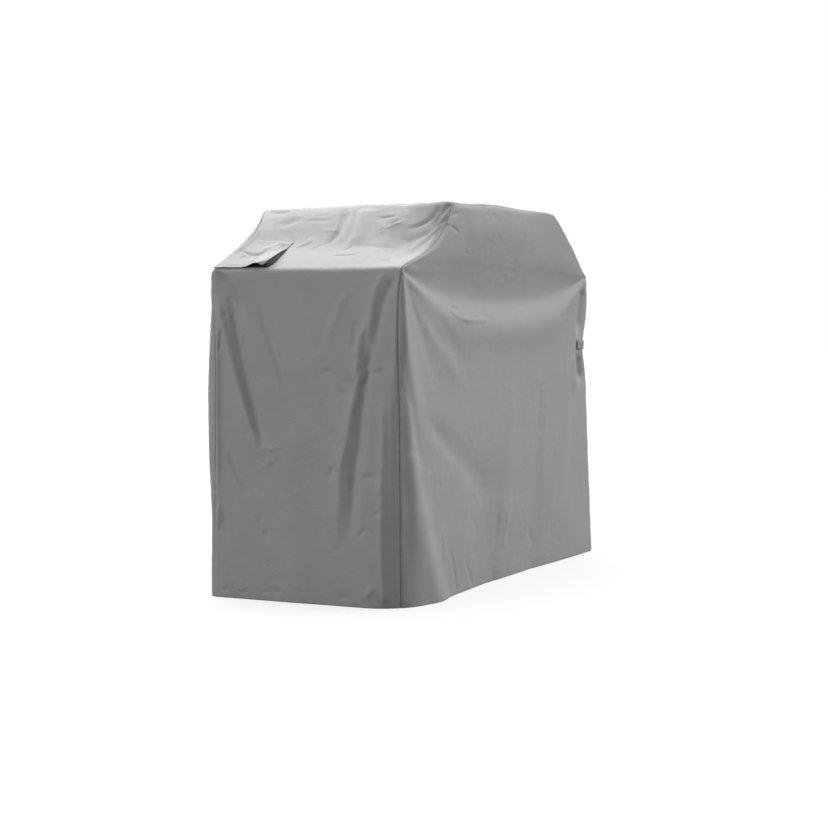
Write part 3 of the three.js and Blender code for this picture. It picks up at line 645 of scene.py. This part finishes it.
# Turns a sheet's sewn edges inwards and puckers the cloth beside them
def sewEdges(points, edges):
    direction, depth, pucker = gridNormals(points), 0.0, 0.0
    for edge in edges:
        near = hill(edge["distance"], seam["shared"])[..., None]
        direction = unit(direction * (1 - near) + edge["normal"] * near)
        depth = np.maximum(depth, np.maximum(rollDepth(edge["distance"], edge["show"]), edge["turned"]))
        wave = lineNoise(edge["run"], seam["puckerPitch"], seam["puckerSeed"])
        wave = wave + seam["finePucker"] * lineNoise(
            edge["run"], seam["puckerPitch"] * seam["finePitch"], seam["puckerSeed"] + 1)
        pucker = pucker + seam["pucker"] * wave * hill(edge["distance"], seam["puckerReach"])
    return points + direction * (pucker - depth)[..., None]


# How far a sheet's two first and two last columns are turned in
def turnedIn(count):
    first, last = np.zeros(count), np.zeros(count)
    first[:2], last[-2:] = rollDepths, rollDepths[::-1]
    return first, last


def lengthAlong(points, axis):
    steps = np.linalg.norm(np.diff(points, axis=axis), axis=-1)
    return np.concatenate([np.zeros_like(np.take(steps, [0], axis)), np.cumsum(steps, axis)], axis)


hem = {
    "band": 120,              # height below which the cloth is shaped as a hem
    "level": 40,
    "turned": 24.0,
    "inset": 2.2,
    "edgeRound": 1.6,
    "stitchUp": 22.0,
    "stitchDepth": 0.06,
    "stitchWidth": 2.4,
    "uneven": 1.2, "unevenPitch": 130, "unevenUp": 60,
    "pucker": 0.5, "puckerPitch": 17, "puckerReach": 14,
    "seed": 81,
    "clearance": 1.2,         # keeps the cloth's inner face off the floor
}


# The foot of a sheet is folded up inside: negative runs lie inside the cloth
def foldHem(points, normals, run):
    inside = run < 0
    flat = normals.copy()
    flat[..., 2] = 0
    flat = unit(flat)
    inset = np.where(inside, hem["inset"], 0.5 * hem["inset"] * hill(run, hem["edgeRound"]))
    inset = inset + np.where(inside, 0, hem["stitchDepth"] * hill(run - hem["stitchUp"], hem["stitchWidth"]))
    along = points[..., 0] + points[..., 1]
    rise = hem["uneven"] * (0.5 + 0.5 * lineNoise(along, hem["unevenPitch"], hem["seed"]))
    nearStitch = hill(abs(run) - hem["stitchUp"], hem["puckerReach"])
    pucker = hem["pucker"] * lineNoise(along, hem["puckerPitch"], hem["seed"] + 1) * nearStitch
    moved = points + flat * (pucker - inset)[..., None]
    moved[..., 2] = np.maximum(moved[..., 2] + rise * hill(run, hem["unevenUp"]), hem["clearance"])
    return np.where((run < hem["band"])[..., None], moved, points)


# Runs at which to take the directions of a hem, which is folded up behind its cloth
def hemPlaces(run):
    return np.where(run < hem["band"], hem["level"] + run / 2, run)


# Spacing of the rows: fine on the left and coarser on the right and the top
fineRows = {"hem": 3, "wall": 6.4, "shoulder": 3, "slope": 5.6, "ridge": 2.6, "ridgeBand": 30}
plainRows = {"hem": 6, "wall": 9, "shoulder": 5, "slope": 9, "ridge": 4, "ridgeBand": 20, "top": 12}


def sideRows(rows):
    hemTop, bandLow, bandHigh = 29, shoulder - 24, shoulder + 24
    ridgeLow = sideRun - rows["ridgeBand"]
    return stations((5, hemTop, rows["hem"]), (hemTop, bandLow, rows["wall"]),
                    (bandLow, bandHigh, rows["shoulder"]), (bandHigh, ridgeLow, rows["slope"]),
                    (ridgeLow, sideRun, rows["ridge"]))


hemRuns = np.array([-hem["turned"], -14.0, -5.0, -1.5, 0.0, 1.5])
sideRuns = np.concatenate([hemRuns, sideRows(fineRows)])


def makeStrip():
    topEnd = stripRun - sideRun
    fineEnd, plainStart = sideRun + fineRows["ridgeBand"], topEnd - plainRows["ridgeBand"]
    topRuns = stations((sideRun, fineEnd, fineRows["ridge"]), (fineEnd, plainStart, plainRows["top"]),
                       (plainStart, topEnd, plainRows["ridge"]))
    rightRuns = stripRun - np.concatenate([hemRuns, sideRows(plainRows)])[::-1]
    runs = np.concatenate([sideRuns, topRuns[1:-1], rightRuns])
    real = np.where(runs < 0, -runs, np.where(runs > stripRun, 2 * stripRun - runs, runs))
    shown = real[:, None]
    back, front = softLine("back", shown), softLine("front", shown)
    last = rollDistances[-1]
    inner = np.linspace(0, 1, stripShape["columns"])[None, 1:-1]
    y = np.concatenate([
        back["seamY"] - rollDistances[None, :],
        back["seamY"] - last - inner * (back["seamY"] - front["seamY"] - 2 * last),
        front["seamY"] + rollDistances[None, ::-1],
    ], axis=1)
    runGrid = np.broadcast_to(shown, y.shape)
    backTurned, frontTurned = turnedIn(y.shape[1])
    points = sewEdges(stripSurface(runGrid, y), [
        edgeOf(back, "back", back["seamY"] - y, runGrid, backTurned),
        edgeOf(front, "front", y - front["seamY"], runGrid, frontTurned),
    ])
    even = stripRun - hemPlaces(stripRun - hemPlaces(runs))[:, None]
    normals = gridNormals(stripSurface(np.broadcast_to(even, y.shape), y))
    fromHem = np.where(runs < stripRun / 2, runs, stripRun - runs)[:, None]
    points = foldHem(points, normals, np.broadcast_to(fromHem, y.shape))
    return points, -y, np.broadcast_to(runs[:, None], y.shape)


# The front or back panel: its columns are fineStep apart up to fineTo from its first seam, then step
def makePanel(side, step, fineStep, fineTo):
    rows = sideRuns[:, None]
    real = np.abs(rows)
    left, right = softLine(side, real), softLine(side, stripRun - real)
    width, last = 2 * cover["shoulderHalf"], rollDistances[-1]
    inner = stations((last, fineTo, fineStep), (fineTo, width - last, step))[1:-1]
    across = np.concatenate([rollDistances, inner, width - rollDistances[::-1]])[None, :]
    # near the seams the columns keep their distance, and between them they share the width
    span = right["seamX"] - left["seamX"]
    fromFirst = last + (across - last) / (width - 2 * last) * (span - 2 * last)
    fromFirst = np.where(across < last + 1e-6, across, fromFirst)
    fromFirst = np.where(across > width - last - 1e-6, span - (width - across), fromFirst)
    share = fromFirst / span
    leftTurned, rightTurned = turnedIn(share.shape[1])
    if side == "back":
        share = share[:, ::-1]
        leftTurned, rightTurned = rightTurned, leftTurned
    run = np.broadcast_to(real, share.shape)
    base = panelSurface(side, run, share)
    topLine = softLine(side, topRunAt(share))
    upPanel = lengthAlong(base, 0)
    points = sewEdges(base, [
        edgeOf(left, side, base[..., 0] - left["seamX"], run, leftTurned),
        edgeOf(right, side, right["seamX"] - base[..., 0], stripRun - run, rightTurned),
        edgeOf(topLine, side, upPanel[-1:] - upPanel, topRunAt(share), np.zeros(share.shape)),
    ])
    normals = gridNormals(panelSurface(side, np.broadcast_to(hemPlaces(rows), share.shape), share))
    runGrid = np.broadcast_to(rows, share.shape)
    points = foldHem(points, normals, runGrid)
    lip = seamNormal(topLine, side)[-1:]
    points = np.concatenate([points] + [points[-1:] - lip * depth for depth in panelShape["topLip"]])
    u = np.concatenate([base[..., 0]] + [base[-1:, :, 0]] * 2)
    v = np.concatenate([runGrid] + [runGrid[-1:] + depth for depth in panelShape["topLip"]])
    return points, (u if side == "front" else -u), v


# A sheet starts as a grid and takes its shape from the places worked out above
def clothObject(name, places, material, thickness):
    points, u, v = places
    rows, columns = points.shape[:2]
    mesh = bpy.data.meshes.new(name)
    bm = bmesh.new()
    bmesh.ops.create_grid(bm, x_segments=columns - 1, y_segments=rows - 1, size=1.0)
    bm.to_mesh(mesh)
    bm.free()
    flat = np.empty(len(mesh.vertices) * 3, np.float32)
    mesh.vertices.foreach_get("co", flat)
    flat = flat.reshape(-1, 3)
    column = np.rint((flat[:, 0] + 1) / 2 * (columns - 1)).astype(int)
    row = np.rint((flat[:, 1] + 1) / 2 * (rows - 1)).astype(int)
    placed = points[row, column] - np.array([*cover["middle"], 0.0])
    mesh.vertices.foreach_set("co", (placed * metres).astype(np.float32).ravel())
    corner = np.empty(len(mesh.loops), np.int32)
    mesh.loops.foreach_get("vertex_index", corner)
    cut = mesh.uv_layers.new(name="cut")
    cutPlaces = np.stack([u[row, column], v[row, column]], axis=-1)[corner] * metres
    cut.data.foreach_set("uv", cutPlaces.astype(np.float32).ravel())
    mesh.polygons.foreach_set("use_smooth", np.ones(len(mesh.polygons), bool))
    mesh.update()
    mesh.materials.append(material)
    piece = bpy.data.objects.new(name, mesh)
    bpy.context.scene.collection.objects.link(piece)
    solidify = piece.modifiers.new("cloth thickness", "SOLIDIFY")
    solidify.thickness = thickness * metres
    solidify.offset = -1.0
    solidify.use_even_offset = False
    print(name, "made:", len(mesh.polygons), "faces")
    return piece


# Vent flap on the left slope: its front end stands open at the mouth
flap = {
    "topRun": shoulder + 0.48 * slopeLength,
    "mouthRun": shoulder + 9,
    "fromSeam": 5,
    "width": 170,
    "thickness": 1.5,
    "rest": 3.4,              # how far it lies off the slope, and at its top, which is sewn down
    "topRest": 1.7,
    "topBand": 0.3,
    "bulgeCurve": 1.6,
    "cornerDip": 8,           # how far its open corner drops, and where that starts
    "cornerFront": 0.9,
    "cornerDown": 0.86,
    "hemDepth": 11,
    "stitch": 0.5, "stitchWidth": 1.6,
    "edge": 0.35, "edgeWidth": 5,
    "crumple": 0.8, "crumplePitch": 26, "crumpleFade": 14,
    "wave": 0.9, "wavePitch": 22, "waveReach": 12,
    "seed": 91,
}
mouthLifts = table("share lift", [[0, 0.6], [0.22, 1.4], [0.45, 0.2], [0.57, 0.3], [0.69, 6], [0.82, 15],
                                  [0.93, 17.5], [1, 17]])
# The flap's front side from its top (down 0) to the mouth, and how far the net reaches out past it
flapSides = table("down y reach", [[0, 136, 0], [0.14, 138, 2], [0.36, 137, 5], [0.48, 136, 6],
                                   [0.7, 134, 8], [0.85, 134, 8], [0.94, 138, 6], [1, 147, 4]])
# These folds lie across the flap (0 to 1) and down it
flapFolds = table(foldColumns, [
    [0.30, 0.55, 0.55, 0.62, 0.98, 0.20, -2.5, 0.07, 0.10, 0, 0],
    [0.55, 0.98, 0.62, 0.70, 0.80, 0.30, 2.5, 0.06, 0.10, 0, 0],
])


# Places over the slope: down from the flap's top (0 to 1), from its back to its front (0 to 1), and
# then forwards past its side
def overSlope(down, toFront, lift, forwards=0.0):
    run = mix(flap["topRun"], flap["mouthRun"], down)
    backY = softLine("back", run)["seamY"] - flap["fromSeam"]
    y = mix(backY, np.interp(down, flapSides["down"], flapSides["y"]), toFront) - forwards
    step = 6
    alongRun = stripSurface(run + step, y) - stripSurface(run - step, y)
    alongDepth = stripSurface(run, y - step) - stripSurface(run, y + step)
    normal = unit(np.cross(alongDepth, alongRun))
    return stripSurface(run, y) + normal * lift[..., None], y, run


def flapLift(down, toFront):
    bulge = np.interp(toFront, mouthLifts["share"], mouthLifts["lift"])
    towardsFront = ease((toFront - flap["cornerFront"]) / (1 - flap["cornerFront"]))
    towardsMouth = ease((down - flap["cornerDown"]) / (1 - flap["cornerDown"]))
    rest = mix(flap["topRest"], flap["rest"], ease(down / flap["topBand"]))
    return rest + bulge * down ** flap["bulgeCurve"] - flap["cornerDip"] * towardsFront * towardsMouth


def makeFlap():
    down, toFront = np.meshgrid(np.linspace(1, 0, 70), np.linspace(0, 1, 64), indexing="ij")
    places, y, run = overSlope(down, toFront, flapLift(down, toFront))
    fromMouth = (1 - down) * (flap["topRun"] - flap["mouthRun"])
    edge = np.minimum(fromMouth, (1 - toFront) * flap["width"])
    stitch = flap["edge"] * hill(edge, flap["edgeWidth"])
    stitch = stitch - flap["stitch"] * hill(edge - flap["hemDepth"], flap["stitchWidth"])
    crumple = smoothNoise(y, run, flap["crumplePitch"], flap["seed"]) * ease(edge / flap["crumpleFade"])
    wave = lineNoise(y, flap["wavePitch"], flap["seed"] + 1) * hill(fromMouth, flap["waveReach"])
    lift = stitch * ease(down / 0.2) + foldLift(flapFolds, toFront, down)
    lift = lift + flap["crumple"] * crumple + flap["wave"] * wave
    return places + gridNormals(places) * lift[..., None], -y, run


# The net lies on the slope, reaches out past the flap's side and turns up and back to the flap's edge. Its
# turned-up side is dark mesh. Its flat part under the flap is a dark sheet that paints the shade inside the
# vent's mouth
net = {"flat": 1.35, "thickness": 0.8, "underFlap": 2.9, "topDown": 0.3, "mouthDown": 0.97,
       "back": 0.06, "front": 0.985, "turnUp": 0.8, "height": 14}


def makeNetAndMouthShade():
    columns = np.concatenate([np.linspace(0, 1, 30), np.linspace(1, 2, 13)[1:]])
    down, across = np.meshgrid(np.linspace(net["mouthDown"], net["topDown"], 46), columns, indexing="ij")
    reach = np.interp(down, flapSides["down"], flapSides["reach"])
    flat, rising = np.minimum(across, 1), np.maximum(across - 1, 0)
    top = flapLift(down, mix(1.0, net["front"], rising)) - net["underFlap"]
    toFront = mix(mix(net["back"], 1.0, flat), net["front"], rising)
    forwards = np.where(across > 1, reach * (1 - rising), reach * ease((flat - 0.9) / 0.1))
    places, y, run = overSlope(down, toFront, mix(net["flat"], top, rising ** net["turnUp"]), forwards)
    return places, -y - net["height"] * rising, run


# The strap is webbing drawn across the right end wall and round both of its corners
strap = {"middle": 730, "halfWidth": 12.5, "standOff": 2.6, "thickness": 1.6, "reach": 74,
         "edge": 0.4, "edgeWidth": 0.12}


def makeStrap():
    across = np.linspace(-1, 1, 9)
    run = (strap["middle"] + across * strap["halfWidth"])[:, None]
    ends = {}
    for side in ("front", "back"):
        left, right = softLine(side, run), softLine(side, stripRun - run)
        distance = stations((strap["reach"], 16, 4), (16, 1, 2))
        share = 1 - distance[None, :] / (right["seamX"] - left["seamX"])
        ends[side] = panelSurface(side, np.broadcast_to(run, share.shape), share)
    front, back = softLine("front", stripRun - run), softLine("back", stripRun - run)
    y = mix(front["seamY"], back["seamY"], np.linspace(0.004, 0.996, 90)[None, :])
    wall = stripSurface(np.broadcast_to(stripRun - run, y.shape), y)
    base = np.concatenate([ends["front"], wall, ends["back"][:, ::-1]], axis=1)
    lift = strap["edge"] * hill(1 - np.abs(across), strap["edgeWidth"])
    lift = lift + strap["standOff"] + strap["thickness"]
    along = lengthAlong(base, 1)
    return base + gridNormals(base) * lift[:, None, None], along, np.broadcast_to(run, along.shape)


# A node with its settings, the values of its sockets and what feeds them
def addNode(tree, kind, values=None, feeds=None, **settings):
    node = tree.nodes.new("ShaderNode" + kind)
    for name, value in settings.items():
        setattr(node, name, value)
    for name, value in (values or {}).items():
        node.inputs[name].default_value = value
    for name, source in (feeds or {}).items():
        tree.links.new(source, node.inputs[name])
    return node


def newMaterial(name):
    material = bpy.data.materials.new(name)
    material.use_nodes = True
    tree = material.node_tree
    tree.nodes.clear()
    shader = addNode(tree, "BsdfPrincipled")
    output = addNode(tree, "OutputMaterial", feeds={"Surface": shader.outputs["BSDF"]})
    return material, shader, output


def newGroup(name, inputs, outputs):
    tree = bpy.data.node_groups.new(name, "ShaderNodeTree")
    for direction, sockets in (("INPUT", inputs), ("OUTPUT", outputs)):
        for socket, kind in sockets.items():
            tree.interface.new_socket(name=socket, in_out=direction, socket_type="NodeSocket" + kind)
    return tree, tree.nodes.new("NodeGroupInput").outputs, tree.nodes.new("NodeGroupOutput").inputs


def mathNode(tree, operation, *inputs):
    node = addNode(tree, "Math", operation=operation)
    for i, value in enumerate(inputs):
        if isinstance(value, (int, float)):
            node.inputs[i].default_value = value
        else:
            tree.links.new(value, node.inputs[i])
    return node.outputs[0]


def noiseNode(tree, vector, scale, detail, roughness):
    values = {"Scale": scale, "Detail": detail, "Roughness": roughness}
    return addNode(tree, "TexNoise", values, {"Vector": vector}).outputs["Fac"]


# Plain weave: threads go over and under each other, on the piece's own cut
def weaveGroup():
    tree, inputs, outputs = newGroup("plain weave", {"Cut": "Vector", "Pitch": "Float"}, {"Height": "Float"})
    cut = addNode(tree, "SeparateXYZ", feeds={0: inputs["Cut"]}).outputs
    waves = []
    for axis in ("X", "Y"):
        turns = mathNode(tree, "DIVIDE", cut[axis], inputs["Pitch"])
        waves.append(mathNode(tree, "SINE", mathNode(tree, "MULTIPLY", turns, 2 * math.pi)))
    weft, warp = (mathNode(tree, "ABSOLUTE", wave) for wave in waves)
    over = mathNode(tree, "GREATER_THAN", mathNode(tree, "MULTIPLY", *waves), 0.0)
    under = mathNode(tree, "SUBTRACT", 1.0, over)
    weftOver = mathNode(tree, "MULTIPLY", weft, over)
    warpUnder = mathNode(tree, "MULTIPLY", warp, under)
    tree.links.new(mathNode(tree, "ADD", weftOver, warpUnder), outputs["Height"])
    return tree


# Handled cloth: cloudy light and dark, small crumples and a little dust
def handledGroup():
    tree, inputs, outputs = newGroup(
        "handled cloth",
        {"Place": "Vector", "Cloth": "Color", "Worn": "Color"},
        {"Color": "Color", "Crumple": "Float", "Roughness": "Float"},
    )
    place = inputs["Place"]
    clouds = noiseNode(tree, place, 14.0, 4.0, 0.6)
    blotch = noiseNode(tree, place, 3.1, 2.0, 0.5)
    grain = noiseNode(tree, place, 160.0, 3.0, 0.7)
    wear = mathNode(tree, "MULTIPLY", grain, 0.2)
    for noise, share in ((clouds, 0.5), (blotch, 0.3)):
        wear = mathNode(tree, "ADD", wear, mathNode(tree, "MULTIPLY", noise, share))
    ramp = addNode(tree, "MapRange", {"From Min": 0.36, "From Max": 0.64}, {"Value": wear})
    feeds = {"Factor": ramp.outputs["Result"], "A": inputs["Cloth"], "B": inputs["Worn"]}
    colour = addNode(tree, "Mix", feeds=feeds, data_type="RGBA")
    tree.links.new(colour.outputs["Result"], outputs["Color"])
    bend = noiseNode(tree, place, 30.0, 2.0, 0.5)
    stretch = mathNode(tree, "ADD", 1.0, mathNode(tree, "MULTIPLY", bend, 0.06))
    bent = addNode(tree, "VectorMath", feeds={0: place, "Scale": stretch}, operation="SCALE").outputs[0]
    small = noiseNode(tree, bent, 90.0, 3.0, 0.55)
    crease = mathNode(tree, "ABSOLUTE", mathNode(tree, "SUBTRACT", small, 0.5))
    crumple = mathNode(tree, "SUBTRACT", 1.0, mathNode(tree, "MULTIPLY", crease, 3.0))
    tree.links.new(crumple, outputs["Crumple"])
    rough = mathNode(tree, "ADD", 0.44, mathNode(tree, "MULTIPLY", grain, 0.12))
    tree.links.new(rough, outputs["Roughness"])
    return tree


clothFinish = {
    "cloth": (0.345, 0.349, 0.355, 1),
    "worn": (0.375, 0.379, 0.384, 1),
    "pitch": 0.0012,
    "weaveDepth": 0.00012,
    "crumpleDepth": 0.00035,
    "sheen": 0.12,
}
webbingFinish = {**clothFinish, "cloth": (0.36, 0.364, 0.37, 1), "worn": (0.40, 0.404, 0.41, 1),
                 "pitch": 0.0026, "weaveDepth": 0.0004}
# The net's near-black colour is partly the mesh's own dark colour and partly painted shade: under the flap it
# blackens the vent's mouth, where there is only shade
netAndMouthShadeFinish = {**clothFinish, "cloth": (0.028, 0.029, 0.031, 1), "worn": (0.045, 0.046, 0.048, 1),
             "pitch": 0.003, "weaveDepth": 0.0006}


def fabricMaterial(name, finish, weave, handled):
    material, shader, _ = newMaterial(name)
    tree = material.node_tree
    cut = addNode(tree, "UVMap", uv_map="cut").outputs["UV"]
    place = addNode(tree, "TexCoord").outputs["Object"]
    threads = addNode(tree, "Group", node_tree=weave)
    threads.inputs["Pitch"].default_value = finish["pitch"]
    tree.links.new(cut, threads.inputs["Cut"])
    wear = addNode(tree, "Group", node_tree=handled)
    wear.inputs["Cloth"].default_value = finish["cloth"]
    wear.inputs["Worn"].default_value = finish["worn"]
    tree.links.new(place, wear.inputs["Place"])
    tree.links.new(wear.outputs["Color"], shader.inputs["Base Color"])
    tree.links.new(wear.outputs["Roughness"], shader.inputs["Roughness"])
    crumple = addNode(tree, "Bump", {"Distance": finish["crumpleDepth"]}, {"Height": wear.outputs["Crumple"]})
    fine = addNode(tree, "Bump", {"Distance": finish["weaveDepth"]},
                   {"Height": threads.outputs["Height"], "Normal": crumple.outputs["Normal"]})
    tree.links.new(fine.outputs["Normal"], shader.inputs["Normal"])
    shader.inputs["Sheen Weight"].default_value = finish["sheen"]
    shader.inputs["Sheen Roughness"].default_value = 0.4
    shader.inputs["Specular IOR Level"].default_value = 0.35
    return material


weave = weaveGroup()
handled = handledGroup()
clothMaterial = fabricMaterial("coated cloth", clothFinish, weave, handled)
# The net's material: dark mesh, and painted shade in the vent's mouth
netAndMouthShadeMaterial = fabricMaterial("vent net and painted mouth shade", netAndMouthShadeFinish, weave, handled)
webbingMaterial = fabricMaterial("webbing", webbingFinish, weave, handled)
print("materials made")

strip = clothObject("wrap_cloth", makeStrip(), clothMaterial, cover["cloth"])
front = clothObject("front_cloth", makePanel("front", 10.5, 5.9, 500.0), clothMaterial, cover["cloth"])
back = clothObject("back_cloth", makePanel("back", 12.0, 12.0, 700.0), clothMaterial, cover["cloth"])
ventFlap = clothObject("vent_flap_cloth", makeFlap(), clothMaterial, flap["thickness"])
# The net, whose flat part under the flap is painted shade in the vent's mouth
ventNetAndMouthShade = clothObject("vent_net_and_mouth_shade_cloth", makeNetAndMouthShade(), netAndMouthShadeMaterial, net["thickness"])
sideStrap = clothObject("side_strap_webbing", makeStrap(), webbingMaterial, strap["thickness"])

pieces = {
    "wrap_panel": (strip, "cloth"),
    "front_panel": (front, "cloth"),
    "back_panel": (back, "cloth"),
    "vent_flap": (ventFlap, "cloth"),
    "vent_net": (ventNetAndMouthShade, "net"),
    "side_strap": (sideStrap, "webbing"),
}
for node, (piece, slot) in pieces.items():
    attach(piece, "root")
    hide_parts(node)

camera = {"place": (-5.50312, -2.66582, 0.8482), "pitch": 3.135, "yaw": 64.093, "lens": 81.99}
cameraData = bpy.data.cameras.new("camera")
cameraData.sensor_width = 36.0
cameraData.lens = camera["lens"]
cameraData.clip_end = 100.0
cameraObject = bpy.data.objects.new("camera", cameraData)
cameraObject.location = camera["place"]
cameraObject.rotation_euler = (math.pi / 2 - math.radians(camera["pitch"]), 0, -math.radians(camera["yaw"]))
bpy.context.scene.collection.objects.link(cameraObject)
bpy.context.scene.camera = cameraObject

# The floor is lit as pale grey, but looks almost white, with faint shadows
floorFinish = {"size": 30.0, "lit": (0.13, 0.13, 0.13, 1), "seen": (0.94, 0.94, 0.94, 1), "glow": 0.78,
               "roughness": 0.9}
floorMesh = bpy.data.meshes.new("floor")
bm = bmesh.new()
bmesh.ops.create_grid(bm, x_segments=1, y_segments=1, size=floorFinish["size"])
bm.to_mesh(floorMesh)
bm.free()
floorMaterial, floorShader, floorOutput = newMaterial("pale floor")
floorShader.inputs["Base Color"].default_value = floorFinish["lit"]
floorShader.inputs["Roughness"].default_value = floorFinish["roughness"]
floorTree = floorMaterial.node_tree
white = (1, 1, 1, 1)
paleFace = addNode(floorTree, "BsdfDiffuse", {"Color": floorFinish["seen"]}).outputs[0]
paleGlow = addNode(floorTree, "Emission", {"Color": white}).outputs[0]
seenFloor = addNode(floorTree, "MixShader", {0: floorFinish["glow"]}, {1: paleFace, 2: paleGlow}).outputs[0]
floorRays = addNode(floorTree, "LightPath").outputs["Is Camera Ray"]
floorMix = addNode(floorTree, "MixShader", feeds={0: floorRays, 1: floorShader.outputs[0], 2: seenFloor})
floorTree.links.new(floorMix.outputs[0], floorOutput.inputs["Surface"])
floorMesh.materials.append(floorMaterial)
floor = bpy.data.objects.new("floor", floorMesh)
bpy.context.scene.collection.objects.link(floor)

# Broad soft lights: where each stands round the cover (0 in front, 90 at the right), how high, in
# degrees, its strength, and how broad it is
studioLights = {
    "back light": (135, 50, 3.63, 60),
    "front light": (45, 30, 2.38, 50),
    "left light": (-128, 25, 1.12, 50),
}
for name, (azimuth, elevation, strength, breadth) in studioLights.items():
    data = bpy.data.lights.new(name, "SUN")
    data.energy = strength
    data.angle = math.radians(breadth)
    light = bpy.data.objects.new(name, data)
    around, above = math.radians(azimuth), math.radians(elevation)
    towards = (math.sin(around) * math.cos(above), -math.cos(around) * math.cos(above), math.sin(above))
    light.rotation_euler = Vector(towards).to_track_quat("Z", "Y").to_euler()
    bpy.context.scene.collection.objects.link(light)

# The room looks white and gives a dimmer light from all round
roomGlow = 0.305
world = bpy.data.worlds.new("studio")
bpy.context.scene.world = world
world.use_nodes = True
worldTree = world.node_tree
worldTree.nodes.clear()
seenRoom = addNode(worldTree, "Background", {"Color": white}).outputs[0]
glowRoom = addNode(worldTree, "Background", {"Color": white, "Strength": roomGlow}).outputs[0]
roomRays = addNode(worldTree, "LightPath").outputs["Is Camera Ray"]
roomMix = addNode(worldTree, "MixShader", feeds={0: roomRays, 1: glowRoom, 2: seenRoom})
addNode(worldTree, "OutputWorld", feeds={"Surface": roomMix.outputs[0]})
bpy.context.scene.view_settings.view_transform = "Standard"
print("camera, floor and lights made")
